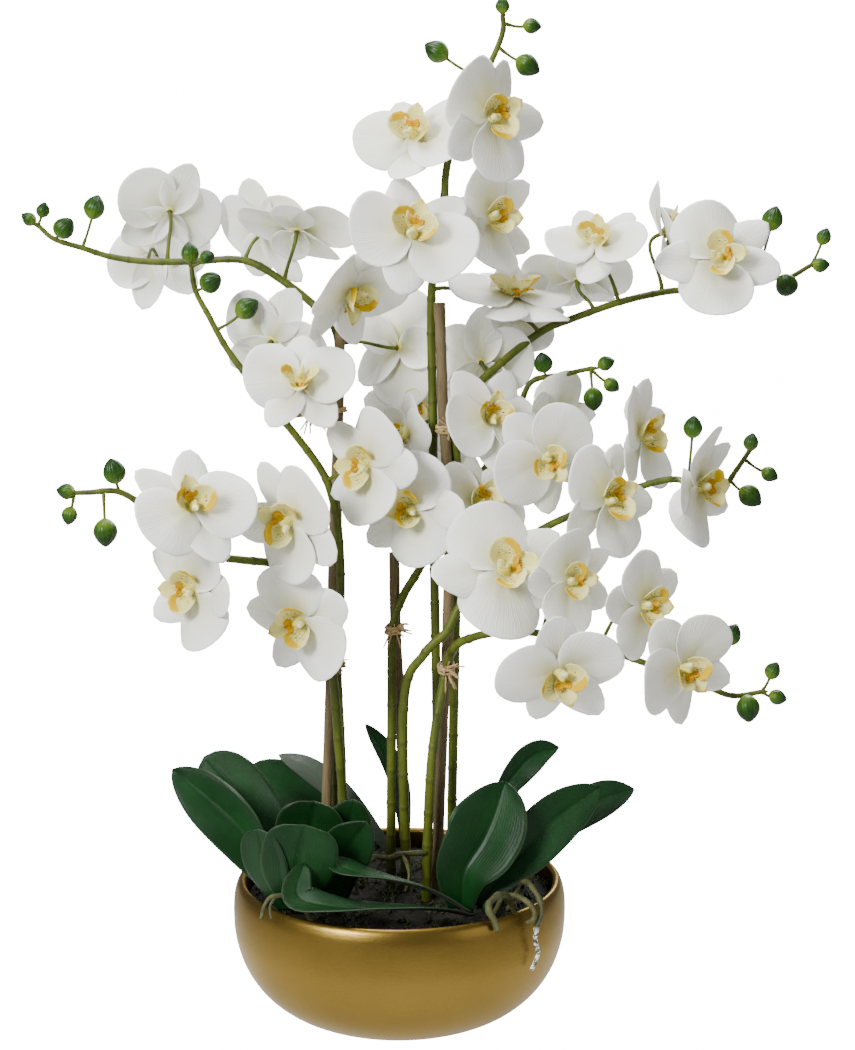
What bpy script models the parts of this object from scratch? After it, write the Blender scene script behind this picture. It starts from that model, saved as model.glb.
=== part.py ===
"""Potted orchid: a gold bowl of soil with tall flowering stems, stakes, ties, strap leaves and roots.

Metres, +Z up, -Y to the front. The bowl's flat base is centred on the origin. Tables are in
millimetres and degrees and are scaled by MM where they are used.
"""

import math

import bmesh
import bpy
from mathutils import Matrix, Vector
from mathutils.geometry import convex_hull_2d

MM = 0.001
GAP = 0.4  # clear space kept between neighbouring pieces

# ---------------------------------------------------------------- bowl and soil
SEGMENTS = 36
BOWL_OUTER = [
    (69, 0), (84, 3), (101, 12), (116, 26), (127, 44), (133, 64),
    (134.5, 82), (133.5, 97), (131, 106), (129, 109.5),
]
BOWL_INNER = [
    (125.5, 109.5), (123.5, 106), (125, 97), (127, 82), (124, 62), (112, 36), (96, 22), (74, 11),
]
SOIL_BOTTOM = [(94.5, 24), (111.2, 37)]
SOIL_TOP = [(123.3, 62), (126, 80), (123.2, 92), (96, 98), (50, 101)]
SOIL_CROWN = 102
HOLE_DEPTH_Z = 74

# ---------------------------------------------------------------- stakes: route from soil to top
STAKE_R = 4.3
STAKES = {
    "stake_left": [(-62, 39, 75), (-61, 40, 150), (-57, 42, 262), (-53, 45, 391), (-49, 45, 484),
                   (-47, 45, 567)],
    "stake_right": [(29, -10, 75), (30, -10, 102), (35, -10, 241), (38, -8, 298), (40, -5, 402),
                    (35, 0, 490), (32, 5, 572)],
    "stake_middle": [(6, 12, 75), (5, 13, 119), (2, 15, 210), (-3, 17, 312), (-4, 18, 372)],
}

# ---------------------------------------------------------------- flower spikes
STEM_R0 = 3.0
STEM_R1 = 1.7
SPIKES = {
    "spike_a": [(30, 12, 75), (31, 14, 119), (30, 13, 255), (28, 14, 367), (27, 15, 479),
                (26, 13, 582), (35, 6, 646), (37, 5, 672), (43, 5, 700), (56, 5, 730),
                (71, 5, 755), (80, 2, 777), (80, 0, 790)],
    "spike_b": [(-54, 52, 75), (-54, 53, 120), (-52, 55, 329), (-50, 56, 451), (-49, 57, 536),
                (-59, 58, 557), (-72, 60, 570), (-93, 62, 586), (-125, 65, 603), (-170, 70, 602),
                (-204, 70, 602), (-234, 70, 606), (-256, 68, 613), (-278, 66, 620),
                (-291, 66, 631)],
    "spike_c": [(-47, 26, 75), (-47, 26, 120), (-48, 30, 200), (-51, 33.5, 279), (-47, 16, 340),
                (-48, 8, 388), (-53, 0, 421), (-63, 0, 444), (-90, 0, 480), (-120, 5, 516),
                (-136, 8, 538), (-149, 10, 562), (-159, 12, 581), (-162, 12, 600)],
    "spike_d": [(-40, 16, 75), (-42, 14, 120), (-48, 8, 200), (-55, -8, 298), (-69, -25, 353),
                (-92, -35, 371), (-122, -45, 377), (-138, -55, 382), (-165, -65, 400),
                (-187, -70, 419), (-209, -75, 434), (-231, -78, 434), (-242, -80, 434)],
    "spike_e": [(42, 8, 75), (42, 10, 119), (44, 10, 249), (46, 8, 364), (45.5, 3, 440),
                (45, 2, 474), (52, 10, 494), (70, 30, 513), (112, 42, 546), (138, 45, 557),
                (176, 50, 570), (211, 52, 578), (238, 52, 581), (274, 50, 589), (287, 50, 594),
                (309, 50, 589), (330, 50, 600)],
    "spike_f": [(-8, 0, 75), (-7, 1, 119), (-6, 3, 255), (-5, 8, 312), (3, 12, 337), (14, 22, 354),
                (28, 28, 378), (45, 28, 405), (60, 26, 428), (80, 24, 455), (96, 23, 490), (106, 24, 509),
                (129, 24, 514), (152, 24, 519)],
    "spike_g": [(6, -6, 75), (5, -8, 119), (4, -13, 258), (20, -20, 297), (38, -22, 316),
                (49, -20, 337), (80, -15, 372), (111, -15, 395), (137, -15, 408),
                (181, -15, 427), (214, -18, 436), (235, -20, 430), (251, -20, 428),
                (264, -20, 445), (273, -20, 459)],
    "spike_h": [(22, -24, 75), (22, -24, 120), (26, -27, 214), (37.5, -18, 284),
                (45, -31, 306), (56, -44, 315), (70, -55, 321), (92, -62, 325), (131, -74, 320),
                (175, -85, 309), (231, -92, 289), (253, -92, 281), (275, -92, 284)],
}

# ---------------------------------------------------------------- buds: spike, centre, radius
BUDS = [
    ("spike_a", 80, 0, 797, 5.5), ("spike_a", 102, 0, 782, 6), ("spike_a", 99, 0, 753, 8.5),
    ("spike_a", 30, 2, 763, 8.5),
    ("spike_b", -298, 66, 636, 5.5), ("spike_b", -286, 62, 643, 5.5),
    ("spike_b", -269, 60, 629, 8.5), ("spike_b", -245, 66, 645, 8.5),
    ("spike_c", -163, 13, 610, 7), ("spike_c", -149, 6, 607, 5.5), ("spike_c", -146, 2, 588, 8.5),
    ("spike_c", -119, 10, 567, 8.5),
    ("spike_d", -248, -80, 435, 6), ("spike_d", -246, -80, 417, 6), ("spike_d", -212, -80, 450, 8.5),
    ("spike_d", -219, -84, 405, 9),
    ("spike_e", 309, 42, 584, 9), ("spike_e", 298, 50, 636, 8.5), ("spike_e", 337, 50, 600, 6),
    ("spike_e", 339, 50, 622, 6),
    ("spike_f", 114, 18, 524, 7.5), ("spike_f", 164, 24, 523, 6), ("spike_f", 169, 26, 506, 6),
    ("spike_f", 154, 16, 496, 8),
    ("spike_g", 228, -24, 477, 7.5), ("spike_g", 274, -20, 465, 6), ("spike_g", 288, -24, 441, 6),
    ("spike_g", 273, -26, 424, 8.5),
    ("spike_h", 252, -84, 326, 7.5), ("spike_h", 283, -92, 300, 6), ("spike_h", 287, -92, 280, 6),
    ("spike_h", 264, -98, 273, 9),
]

# ---------------------------------------------------------------- flowers
# name, spike, centre x y z, azimuth (0 faces the front, + turns to the right), elevation, roll,
# radius, form
FLOWERS = [
    ("a1", "spike_a", 70, -38, 712, 42, 5, 120, 47, "open"),
    ("a2", "spike_a", 12, 7, 699, -20, 42, 180, 46, "open"),
    ("a3", "spike_a", 11, -36, 625, 10, 30, 160, 49, "open"),
    ("a4", "spike_a", 72, 24, 637, 50, 10, 90, 46, "cupped"),
    ("b6", "spike_b", -1, 76, 532, 140, 0, 90, 48, "open"),
    ("b1", "spike_b", -189, 98, 642, -165, 20, 20, 43, "open"),
    ("b2", "spike_b", -202, 124, 606, 170, -20, -15, 44, "open"),
    ("b3", "spike_b", -111, 98, 625, 150, 20, 0, 46, "open"),
    ("b4", "spike_b", -81, 45, 628, 170, 60, 0, 48, "open"),
    ("b5", "spike_b", -38, 12, 580, 50, -35, 0, 46, "cupped"),
    ("c1", "spike_c", -100, 22, 541, 158, 20, 30, 44, "open"),
    ("c2", "spike_c", -75, -30, 514, 0, 32, 0, 42, "open"),
    ("c3", "spike_c", -23, -38, 449, -45, 5, -90, 46, "open"),
    ("d1", "spike_d", -151, -100, 426, 18, 34, 200, 46, "open"),
    ("d2", "spike_d", -155, -76, 360, -38, 0, -90, 46, "cupped"),
    ("d3", "spike_d", -82, -62, 410, -35, -3, -115, 48, "open"),
    ("d4", "spike_d", -75, -44, 329, -30, -8, -65, 48, "open"),
    ("e1", "spike_e", 66, 38, 522, 180, 0, 0, 43, "open"),
    ("e2", "spike_e", 90, 28, 576, 25, 74, 0, 50, "open"),
    ("e3", "spike_e", 144, 66, 588, 170, 55, 0, 44, "open"),
    ("e4", "spike_e", 156, 12, 618, -20, 50, 180, 40, "open"),
    ("e5", "spike_e", 214, 72, 625, 80, 18, 180, 44, "cupped"),
    ("e6", "spike_e", 250, 18, 606, 5, 18, 100, 47, "open"),
    ("f1", "spike_f", 71, -26, 484, 25, 22, 180, 42, "open"),
    ("f2", "spike_f", 124, 26, 476, 50, -5, 60, 42, "cupped"),
    ("f3", "spike_f", 114, -36, 455, 15, -5, 40, 44, "open"),
    ("f4", "spike_f", 62, -5, 416, 35, 20, 150, 42, "open"),
    ("g1", "spike_g", 228, -60, 436, 58, 0, 90, 46, "cupped"),
    ("g2", "spike_g", 160, -49, 424, 45, 10, 118, 46, "open"),
    ("g3", "spike_g", 190, 4, 468, 62, 8, 130, 44, "cupped"),
    ("h1", "spike_h", 79, -96, 378, 22, 28, 92, 54, "open"),
    ("h2", "spike_h", 129, -92, 369, 38, 5, 90, 39, "cupped"),
    ("h3", "spike_h", 120, -120, 306, 15, -25, 15, 48, "open"),
    ("h4", "spike_h", 183, -100, 352, 48, 0, 80, 42, "open"),
    ("h5", "spike_h", 211, -122, 310, 32, -10, 35, 44, "open"),
    ("m1", "spike_a", 7, 24, 468, -50, 0, 0, 30, "open"),
    ("m2", "spike_a", 11, -34, 414, -25, 8, -90, 44, "open"),
]
# one sample of the flower's outline: angle from the flower's right, reach, forward bend
SEPAL_TOP = [(90, 1.0, 0.2), (72, 0.9, 0.1), (58, 0.6, 0.0)]
PETAL = [(45, 0.84, 0.5), (26, 1.03, 0.8), (6, 1.05, 0.8), (-13, 0.9, 0.6)]
SEPAL_LOW = [(-27, 0.6, 0.0), (-42, 0.92, 0.1), (-60, 1.0, 0.3), (-77, 0.8, 0.1), (-90, 0.42, 0.0)]
FORMS = {"open": 6.0, "cupped": 18.0}
PETAL_THICK = 1.3
LIP_SIZE = (9.5, 10.0, 10.5)
LIP_AT = (0, -4.5, 9.0)
INNER_RING = 0.2

# ---------------------------------------------------------------- leaves
# each leaf: middle, tip, width, the way its upper face looks
CROWNS = {
    "leaves_left": (-72, -42, 15), "leaves_back": (-5, 72, 13), "leaves_right": (62, -38, 15),
    "leaves_front": (-14, -66, 13),
}
LEAVES = {
    "leaves_left": [
        ((-144, -34, 152), (-184, -22, 198), 48, (-0.1, -1, 0.5)),
        ((-112, -4, 164), (-158, 10, 206), 50, (0.2, -0.8, 0.7)),
        ((-98, -66, 134), (-116, -78, 160), 32, (-0.3, -1, 0.4)),
        ((-78, -70, 134), (-86, -74, 164), 46, (0, -1, 0.4)),
        ((-46, -44, 146), (-18, -34, 164), 28, (0, -1, 0.6)),
    ],
    "leaves_back": [
        ((-60, 74, 168), (-101, 84, 196), 26, (0.5, -0.6, 0.8)),
        ((-14, 64, 180), (-30, 62, 226), 24, (1, -0.6, 0.2)),
        ((-76, 84, 156), (-122, 84, 186), 36, (0, -0.6, 1)),
    ],
    "leaves_right": [
        ((76, -50, 150), (86, -32, 194), 58, (-0.1, -1, 0.2)),
        ((114, -50, 150), (155, -46, 196), 50, (0.3, -1, 0.5)),
        ((128, -12, 142), (190, 8, 177), 44, (0.2, -0.8, 0.8)),
        ((92, 6, 168), (130, 34, 206), 34, (0.5, -1, 0.2)),
    ],
    "leaves_front": [
        ((-48, -92, 134), (-82, -104, 126), 28, (0, -0.5, 1)),
        ((20, -92, 124), (54, -106, 114), 26, (0, -0.5, 1)),
        ((-40, -84, 140), (-62, -94, 148), 24, (0, -0.5, 1)),
    ],
}
LEAF_THICK = 1.6

# ---------------------------------------------------------------- roots
ROOTS = {
    "root_right": [(86, -58, 104), (94, -64, 123), (100, -74, 128), (106, -86, 124), (110, -91, 116),
                   (110, -93, 104), (106, -94, 92), (106, -93, 76), (103, -92, 64)],
    "root_middle": [(22, -36, 104), (14, -34, 128), (2, -34, 138), (-8, -40, 137), (-23, -42, 138),
                    (-31, -43, 134), (-33, -46, 112)],
}
ROOT_R = 2.4

# ---------------------------------------------------------------- ties: stake, spike, height
TIES = {
    "tie_1": ("stake_right", "spike_e", 474), "tie_2": ("stake_right", "spike_h", 284),
    "tie_3": ("stake_middle", "spike_f", 312), "tie_4": ("stake_left", "spike_c", 279),
}
TIE_R = 1.3


def clear_scene():
    for obj in list(bpy.data.objects):
        bpy.data.objects.remove(obj, do_unlink=True)


def add_object(name, mesh):
    obj = bpy.data.objects.new(name, mesh)
    bpy.context.scene.collection.objects.link(obj)
    return obj


def bake(obj):
    """Replace an object's mesh by the mesh its modifiers give, welded and facing outward."""
    bpy.context.view_layer.update()
    graph = bpy.context.evaluated_depsgraph_get()
    mesh = bpy.data.meshes.new_from_object(obj.evaluated_get(graph))
    obj.modifiers.clear()
    if obj.type != "MESH":
        new = add_object(obj.name + "_mesh", mesh)
        bpy.data.objects.remove(obj, do_unlink=True)
        obj = new
    else:
        obj.data = mesh
    bm = bmesh.new()
    bm.from_mesh(mesh)
    bmesh.ops.remove_doubles(bm, verts=bm.verts, dist=1e-6)
    bmesh.ops.dissolve_degenerate(bm, edges=bm.edges, dist=1e-6)
    bmesh.ops.recalc_face_normals(bm, faces=bm.faces)
    bm.to_mesh(mesh)
    bm.free()
    return obj


def join_solids(base, others, operation="UNION"):
    """Unite (or cut) a solid with others by exact Booleans and remove the others."""
    for other in others:
        mod = base.modifiers.new("join", "BOOLEAN")
        mod.operation = operation
        mod.solver = "EXACT"
        mod.object = other
        base = bake(base)
        bpy.data.objects.remove(other, do_unlink=True)
    return base


def smooth_route(points, steps):
    """Points of a Catmull-Rom curve through the control points, in metres."""
    pts = [Vector(p) * MM for p in points]
    ends = [pts[0] * 2 - pts[1]] + pts + [pts[-1] * 2 - pts[-2]]
    out = []
    for i in range(len(pts) - 1):
        a, b, c, d = ends[i:i + 4]
        for k in range(steps):
            t = k / steps
            out.append(0.5 * ((2 * b) + (c - a) * t + (2 * a - 5 * b + 4 * c - d) * t * t
                              + (3 * b - a - 3 * c + d) * t ** 3))
    out.append(pts[-1])
    return out


def tube(name, points, radii, resolution=0):
    """A closed round rod along points (metres) with a radius at each, from a bevelled curve."""
    curve = bpy.data.curves.new(name, "CURVE")
    curve.dimensions = "3D"
    curve.bevel_depth = 1.0
    curve.bevel_resolution = resolution
    curve.use_fill_caps = True
    spline = curve.splines.new("POLY")
    spline.points.add(len(points) - 1)
    for point, place, radius in zip(spline.points, points, radii):
        point.co = (*place, 1.0)
        point.radius = radius
    return bake(add_object(name, curve))


def lathe(name, profile, closed):
    """Turn a profile of (radius, height) in millimetres about Z with a Screw modifier."""
    mesh = bpy.data.meshes.new(name)
    verts = [(r * MM, 0, z * MM) for r, z in profile]
    edges = [(i, i + 1) for i in range(len(verts) - 1)]
    if closed:
        edges.append((len(verts) - 1, 0))
    mesh.from_pydata(verts, edges, [])
    obj = add_object(name, mesh)
    mod = obj.modifiers.new("turn", "SCREW")
    mod.steps = SEGMENTS
    mod.render_steps = SEGMENTS
    mod.use_merge_vertices = True
    mod.merge_threshold = 0.00001
    return bake(obj)


def point_at_height(points, z):
    """The point of a route (metres) at a height, searching from its start."""
    for a, b in zip(points, points[1:]):
        if a.z <= z <= b.z:
            return a.lerp(b, (z - a.z) / (b.z - a.z))
    return points[-1]


def nearest(points, target):
    return min(range(len(points)), key=lambda i: (points[i] - target).length)


def facing_axes(azimuth, elevation, roll):
    """Rotation that turns a flower's +Z to the way it faces, its +Y kept upward, then rolled."""
    az = math.radians(azimuth)
    el = math.radians(elevation)
    face = Vector((math.sin(az) * math.cos(el), -math.cos(az) * math.cos(el), math.sin(el)))
    right = Vector((math.cos(az), math.sin(az), 0))
    up = face.cross(right)
    turn = Matrix((right, up, face)).transposed()
    return turn @ Matrix.Rotation(math.radians(roll), 3, "Z")


def flower_outline():
    """The outline samples all round: right half as listed, left half mirrored."""
    right = SEPAL_TOP + PETAL + SEPAL_LOW
    left = [(180 - a, r, b) for a, r, b in reversed(right[1:-1])]
    return right + left


def flower_form(name, cup):
    """One flower of radius 1 mm x 50 facing +Z: a five-lobed sheet with a lip and column."""
    bm = bmesh.new()
    outline = flower_outline()
    inner = []
    outer = []
    for angle, reach, bend in outline:
        a = math.radians(angle)
        way = Vector((math.cos(a), math.sin(a), 0))
        inner.append(bm.verts.new(way * INNER_RING * 50 * MM))
        height = cup * (reach ** 2) * (0.5 + bend * 0.5) + bend * 2.0
        outer.append(bm.verts.new((way * reach * 50 + Vector((0, 0, height))) * MM))
    centre = bm.verts.new((0, 0, -1.5 * MM))
    count = len(outline)
    for i in range(count):
        j = (i + 1) % count
        bm.faces.new((inner[j], inner[i], centre))
        bm.faces.new((inner[i], inner[j], outer[j], outer[i]))
    mesh = bpy.data.meshes.new(name)
    bmesh.ops.recalc_face_normals(bm, faces=bm.faces)
    bm.to_mesh(mesh)
    bm.free()
    sheet = add_object(name, mesh)
    mod = sheet.modifiers.new("thickness", "SOLIDIFY")
    mod.thickness = PETAL_THICK * MM
    mod.offset = 0.0
    sheet = bake(sheet)
    bm = bmesh.new()
    bmesh.ops.create_icosphere(bm, subdivisions=1, radius=MM)
    bmesh.ops.scale(bm, vec=LIP_SIZE, verts=bm.verts)
    bmesh.ops.translate(bm, vec=Vector(LIP_AT) * MM, verts=bm.verts)
    mesh = bpy.data.meshes.new(name + "_lip")
    bm.to_mesh(mesh)
    bm.free()
    lip = add_object(name + "_lip", mesh)
    return join_solids(sheet, [lip])


def curved_rod(name, start, start_way, end, end_way, radius, steps=3, overlap=0.0):
    """A thin rod leaving one point and arriving at another along given directions."""
    reach = (end - start).length * 0.45
    b = start + start_way.normalized() * reach
    c = end - end_way.normalized() * reach
    points = []
    for k in range(steps + 1):
        t = k / steps
        s = 1 - t
        points.append(s ** 3 * start + 3 * s * s * t * b + 3 * s * t * t * c + t ** 3 * end)
    return tube(name, points, [radius] * len(points))


def bud_solid(name, centre, way, radius):
    """A bud: a twenty-sided ball drawn out along the way it points."""
    bm = bmesh.new()
    bmesh.ops.create_icosphere(bm, subdivisions=1, radius=radius * MM)
    bmesh.ops.scale(bm, vec=(1.0, 1.0, 1.25), verts=bm.verts)
    turn = way.to_track_quat("Z", "Y").to_matrix().to_4x4()
    spin = Matrix.Rotation(0.4 + 40 * centre.x, 4, "Z")
    bmesh.ops.transform(bm, matrix=Matrix.Translation(centre) @ turn @ spin, verts=bm.verts)
    mesh = bpy.data.meshes.new(name)
    bm.to_mesh(mesh)
    bm.free()
    return add_object(name, mesh)


def build_spike(name, route):
    """Stem, flower stalks, bud stalks and buds of one spike as one grown body."""
    count = len(route)
    radii = [(STEM_R0 + (STEM_R1 - STEM_R0) * (i / (count - 1)) ** 1.5) * MM for i in range(count)]
    stem = tube(name, route, radii, 1)
    others = []
    for fname, spike, x, y, z, az, el, roll, size, form in FLOWERS:
        if spike != name or (fname in LOOSE):
            continue
        face = facing_axes(az, el, 0) @ Vector((0, 0, 1))
        back = Vector((x, y, z)) * MM - face * (2.6 + GAP) * MM
        i = nearest(route, back - face * 14 * MM)
        start = route[i]
        way = (back - start).normalized() + Vector((0, 0, 0.35))
        others.append(curved_rod(fname + "_stalk", start, way, back, face, 1.5 * MM))
    for k, (spike, x, y, z, size) in enumerate(BUDS):
        if spike != name:
            continue
        centre = Vector((x, y, z)) * MM
        i = nearest(route, centre)
        start = route[i]
        way = centre - start
        if way.length < size * 0.6 * MM:
            way = route[i] - route[i - 1]
        elif way.length > size * 1.1 * MM:
            others.append(tube("bud_stalk", [start, centre], [1.2 * MM, 1.2 * MM]))
        others.append(bud_solid("bud", centre, way.normalized(), size))
    body = join_solids(stem, others)
    body.name = name
    return body


def build_leaf(name, crown, middle, tip, width, look):
    """A strap leaf: a creased sheet from the crown through a middle point to its tip."""
    base = Vector((crown[0], crown[1], 108)) * MM
    route = smooth_route([base / MM, middle, tip], 3)
    widths = [0.30, 0.55, 0.8, 0.98, 1.0, 0.82, 0.18]
    bm = bmesh.new()
    rows = []
    for i, place in enumerate(route):
        ahead = route[min(i + 1, len(route) - 1)] - route[max(i - 1, 0)]
        side = ahead.cross(Vector(look)).normalized()
        up = side.cross(ahead).normalized()
        half = side * width * widths[i] * 0.5 * MM
        crease = up * width * widths[i] * 0.10 * MM
        rows.append([bm.verts.new(place - half + crease), bm.verts.new(place - crease * 0.4),
                     bm.verts.new(place + half + crease)])
    for low, high in zip(rows, rows[1:]):
        for k in range(2):
            bm.faces.new((low[k], low[k + 1], high[k + 1], high[k]))
    mesh = bpy.data.meshes.new(name)
    bm.to_mesh(mesh)
    bm.free()
    leaf = add_object(name, mesh)
    mod = leaf.modifiers.new("thickness", "SOLIDIFY")
    mod.thickness = LEAF_THICK * MM
    mod.offset = 0.0
    return bake(leaf)


def build_leaves(name):
    """The leaves of one plant on their short stem."""
    x, y, radius = CROWNS[name]
    low = Vector((x, y, 103.5)) * MM
    high = Vector((x, y, 120)) * MM
    crown = tube(name + "_crown", [low, high], [radius * 0.62 * MM, radius * 0.45 * MM], 1)
    leaves = []
    for middle, tip, width, look in LEAVES[name]:
        leaves.append(build_leaf(name + "_leaf", CROWNS[name], middle, tip, width, look))
    body = join_solids(crown, leaves)
    body.name = name
    return body


def build_tie(name, stake_point, stem_point):
    """A raffia loop round a stake and a stem, with two loose ends."""
    circle = []
    for centre, radius in ((stake_point, STAKE_R), (stem_point, STEM_R0)):
        reach = (radius + GAP + TIE_R + 0.5) * MM
        for k in range(10):
            a = 2 * math.pi * k / 10
            circle.append(Vector((centre.x + reach * math.cos(a), centre.y + reach * math.sin(a))))
    hull = [circle[i] for i in convex_hull_2d(circle)]
    z = (stake_point.z + stem_point.z) / 2
    curve = bpy.data.curves.new(name, "CURVE")
    curve.dimensions = "3D"
    curve.bevel_depth = TIE_R * MM
    curve.bevel_resolution = 0
    spline = curve.splines.new("POLY")
    spline.points.add(len(hull) - 1)
    for point, place in zip(spline.points, hull):
        point.co = (place.x, place.y, z, 1.0)
    spline.use_cyclic_u = True
    loop = bake(add_object(name, curve))
    front = min(hull, key=lambda p: p.y)
    knot = Vector((front.x, front.y, z))
    ends = []
    for dx, dz in ((12, -3), (-5, -13)):
        tip = knot + Vector((dx, -6, dz)) * MM
        ends.append(tube("tie_end", [knot, tip], [1.2 * MM, 0.9 * MM]))
    body = join_solids(loop, ends)
    body.name = name
    return body


LOOSE = ()


def main():
    clear_scene()
    bowl = lathe("bowl", BOWL_OUTER + BOWL_INNER + [(0, 11)], False)
    bm = bmesh.new()
    bm.from_mesh(bowl.data)
    rim = [e for e in bm.edges if e.is_boundary]
    bmesh.ops.holes_fill(bm, edges=rim, sides=0)
    bmesh.ops.recalc_face_normals(bm, faces=bm.faces)
    bm.to_mesh(bowl.data)
    bm.free()
    soil = lathe("soil", [(0, 24)] + SOIL_BOTTOM + SOIL_TOP + [(0, SOIL_CROWN)], False)
    routes = {}
    for name, points in SPIKES.items():
        routes[name] = smooth_route(points, 2)
    stakes = {name: smooth_route(points, 1) for name, points in STAKES.items()}
    holes = []
    for name, route in list(routes.items()) + list(stakes.items()):
        radius = STAKE_R if name in stakes else STEM_R0
        foot = Vector((route[0].x, route[0].y, HOLE_DEPTH_Z * MM))
        top = foot + Vector((0, 0, 50 * MM))
        lean = point_at_height(route, top.z)
        top = Vector((lean.x, lean.y, top.z))
        holes.append(tube("hole", [foot, top], [(radius * 1.25 + GAP) * MM] * 2, 1))
    soil = join_solids(soil, holes, "DIFFERENCE")
    soil.name = "soil"
    for name, route in routes.items():
        build_spike(name, route)
    for name, route in stakes.items():
        tube(name, route, [STAKE_R * MM] * len(route), 2).name = name
    forms = {form: flower_form(form, cup) for form, cup in FORMS.items()}
    for fname, spike, x, y, z, az, el, roll, size, form in FLOWERS:
        mesh = forms[form].data.copy()
        turn = facing_axes(az, el, roll).to_4x4()
        scale = Matrix.Diagonal((size / 50, size / 50, size / 50, 1))
        mesh.transform(Matrix.Translation(Vector((x, y, z)) * MM) @ turn @ scale)
        add_object("flower_" + fname, mesh)
    for form in forms.values():
        bpy.data.objects.remove(form, do_unlink=True)
    for name in CROWNS:
        build_leaves(name)
    for name, points in ROOTS.items():
        route = smooth_route(points, 2)
        radii = [ROOT_R * MM] * (len(route) - 1) + [ROOT_R * 0.6 * MM]
        tube(name, route, radii, 1).name = name
    for name, (stake, spike, height) in TIES.items():
        build_tie(name, point_at_height(stakes[stake], height * MM),
                  point_at_height(routes[spike], height * MM))


main()
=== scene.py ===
"""Potted orchid arrangement: the looks of every piece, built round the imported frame.

Metres, +Z up, -Y to the front, the bowl's base centred on the origin. Tables are in millimetres
and degrees and are scaled by MM.
"""

import math
import random

import bmesh
import bpy
import numpy as np
from mathutils import Matrix, Vector, noise


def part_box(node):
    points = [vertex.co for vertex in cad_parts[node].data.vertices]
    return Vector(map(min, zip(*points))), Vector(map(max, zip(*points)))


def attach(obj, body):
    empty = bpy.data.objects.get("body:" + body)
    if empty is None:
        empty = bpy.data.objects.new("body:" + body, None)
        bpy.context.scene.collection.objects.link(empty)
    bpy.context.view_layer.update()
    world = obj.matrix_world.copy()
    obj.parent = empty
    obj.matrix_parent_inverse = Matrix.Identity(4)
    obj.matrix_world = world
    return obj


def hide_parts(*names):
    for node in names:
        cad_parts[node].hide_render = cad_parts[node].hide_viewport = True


bl_info = {
    "name": "Potted Orchid",
    "version": (1, 0, 0),
    "blender": (4, 5, 0),
    "location": "View3D > Sidebar > Orchid",
    "description": "Builds a gold bowl of white orchids piece by piece round its frame",
    "category": "Object",
}

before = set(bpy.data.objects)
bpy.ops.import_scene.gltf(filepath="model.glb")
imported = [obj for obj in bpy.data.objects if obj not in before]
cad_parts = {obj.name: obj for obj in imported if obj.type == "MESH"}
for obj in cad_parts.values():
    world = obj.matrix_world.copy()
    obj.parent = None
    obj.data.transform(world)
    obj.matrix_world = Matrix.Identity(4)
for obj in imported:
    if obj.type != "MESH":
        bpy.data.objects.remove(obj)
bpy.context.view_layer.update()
MM = 0.001
BODY = "root"
SOFT_LIGHT = 0.29               # strength of the surroundings
FLOOR_GLOW = 1.1                # strength of the floor's glow next to the bowl
FLOOR_GLOW_REACH = 0.36
PAPER_WHITE = 16.0              # strength of what the camera sees behind the object
RINGED_GIRTH = 0.0016           # metres; thinner stems have no rings
SOIL_RADIUS = 122.6             # mm, at the top of the soil
SOIL_LUMPS_ABOVE = 0.0932       # metres; the soil is lumpy above this height
MOSS_RADIUS = 0.12              # metres
MOSS_BLADES = 6                 # in each tuft
TIE_TURNS = 6                   # turns of raffia in each tie
TIE_STEPS = 24                  # steps round each turn
TIE_LOOSE_ENDS = 14
LIGHT_AIM = (0, 0, 0.4)         # metres
FLOWER_DRIFT = 0.03             # how far a flower may stand from its node's middle
STALK_STEPS = 10
STALK_RADII = [2.0, 1.7, 1.5, 1.45, 1.4, 1.4, 1.4, 1.45, 1.5, 1.7, 1.9]
FLOWER_SIZE = 50                # the radius that the petal and lip shapes are drawn at
COLUMN_RADII = [6.0, 5.8, 5.3, 4.7, 4.2, 3.8, 3.5, 3.3, 3.2, 3.0, 2.6, 1.9, 0.6]
HORN_RADII = [3.0, 2.9, 2.7, 2.4, 2.0, 1.5, 1.0, 0.6, 0.2]
FLOOR_RADIUS = 30.0
CAMERA_PLACE = (0.0227, -1.60, 0.6467)
CAMERA_AIM_HEIGHT = 0.3971
CAMERA_LENS = 70.19
# name, place, size, power
LIGHTS = [
    ("key", (-1.4, -1.8, 1.5), 0.9, 106), ("fill", (2.0, -1.4, 0.9), 1.2, 8),
    ("back", (0.7, 1.9, 1.7), 1.3, 60), ("top", (-0.2, 0.1, 2.3), 1.1, 55),
]

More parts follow.
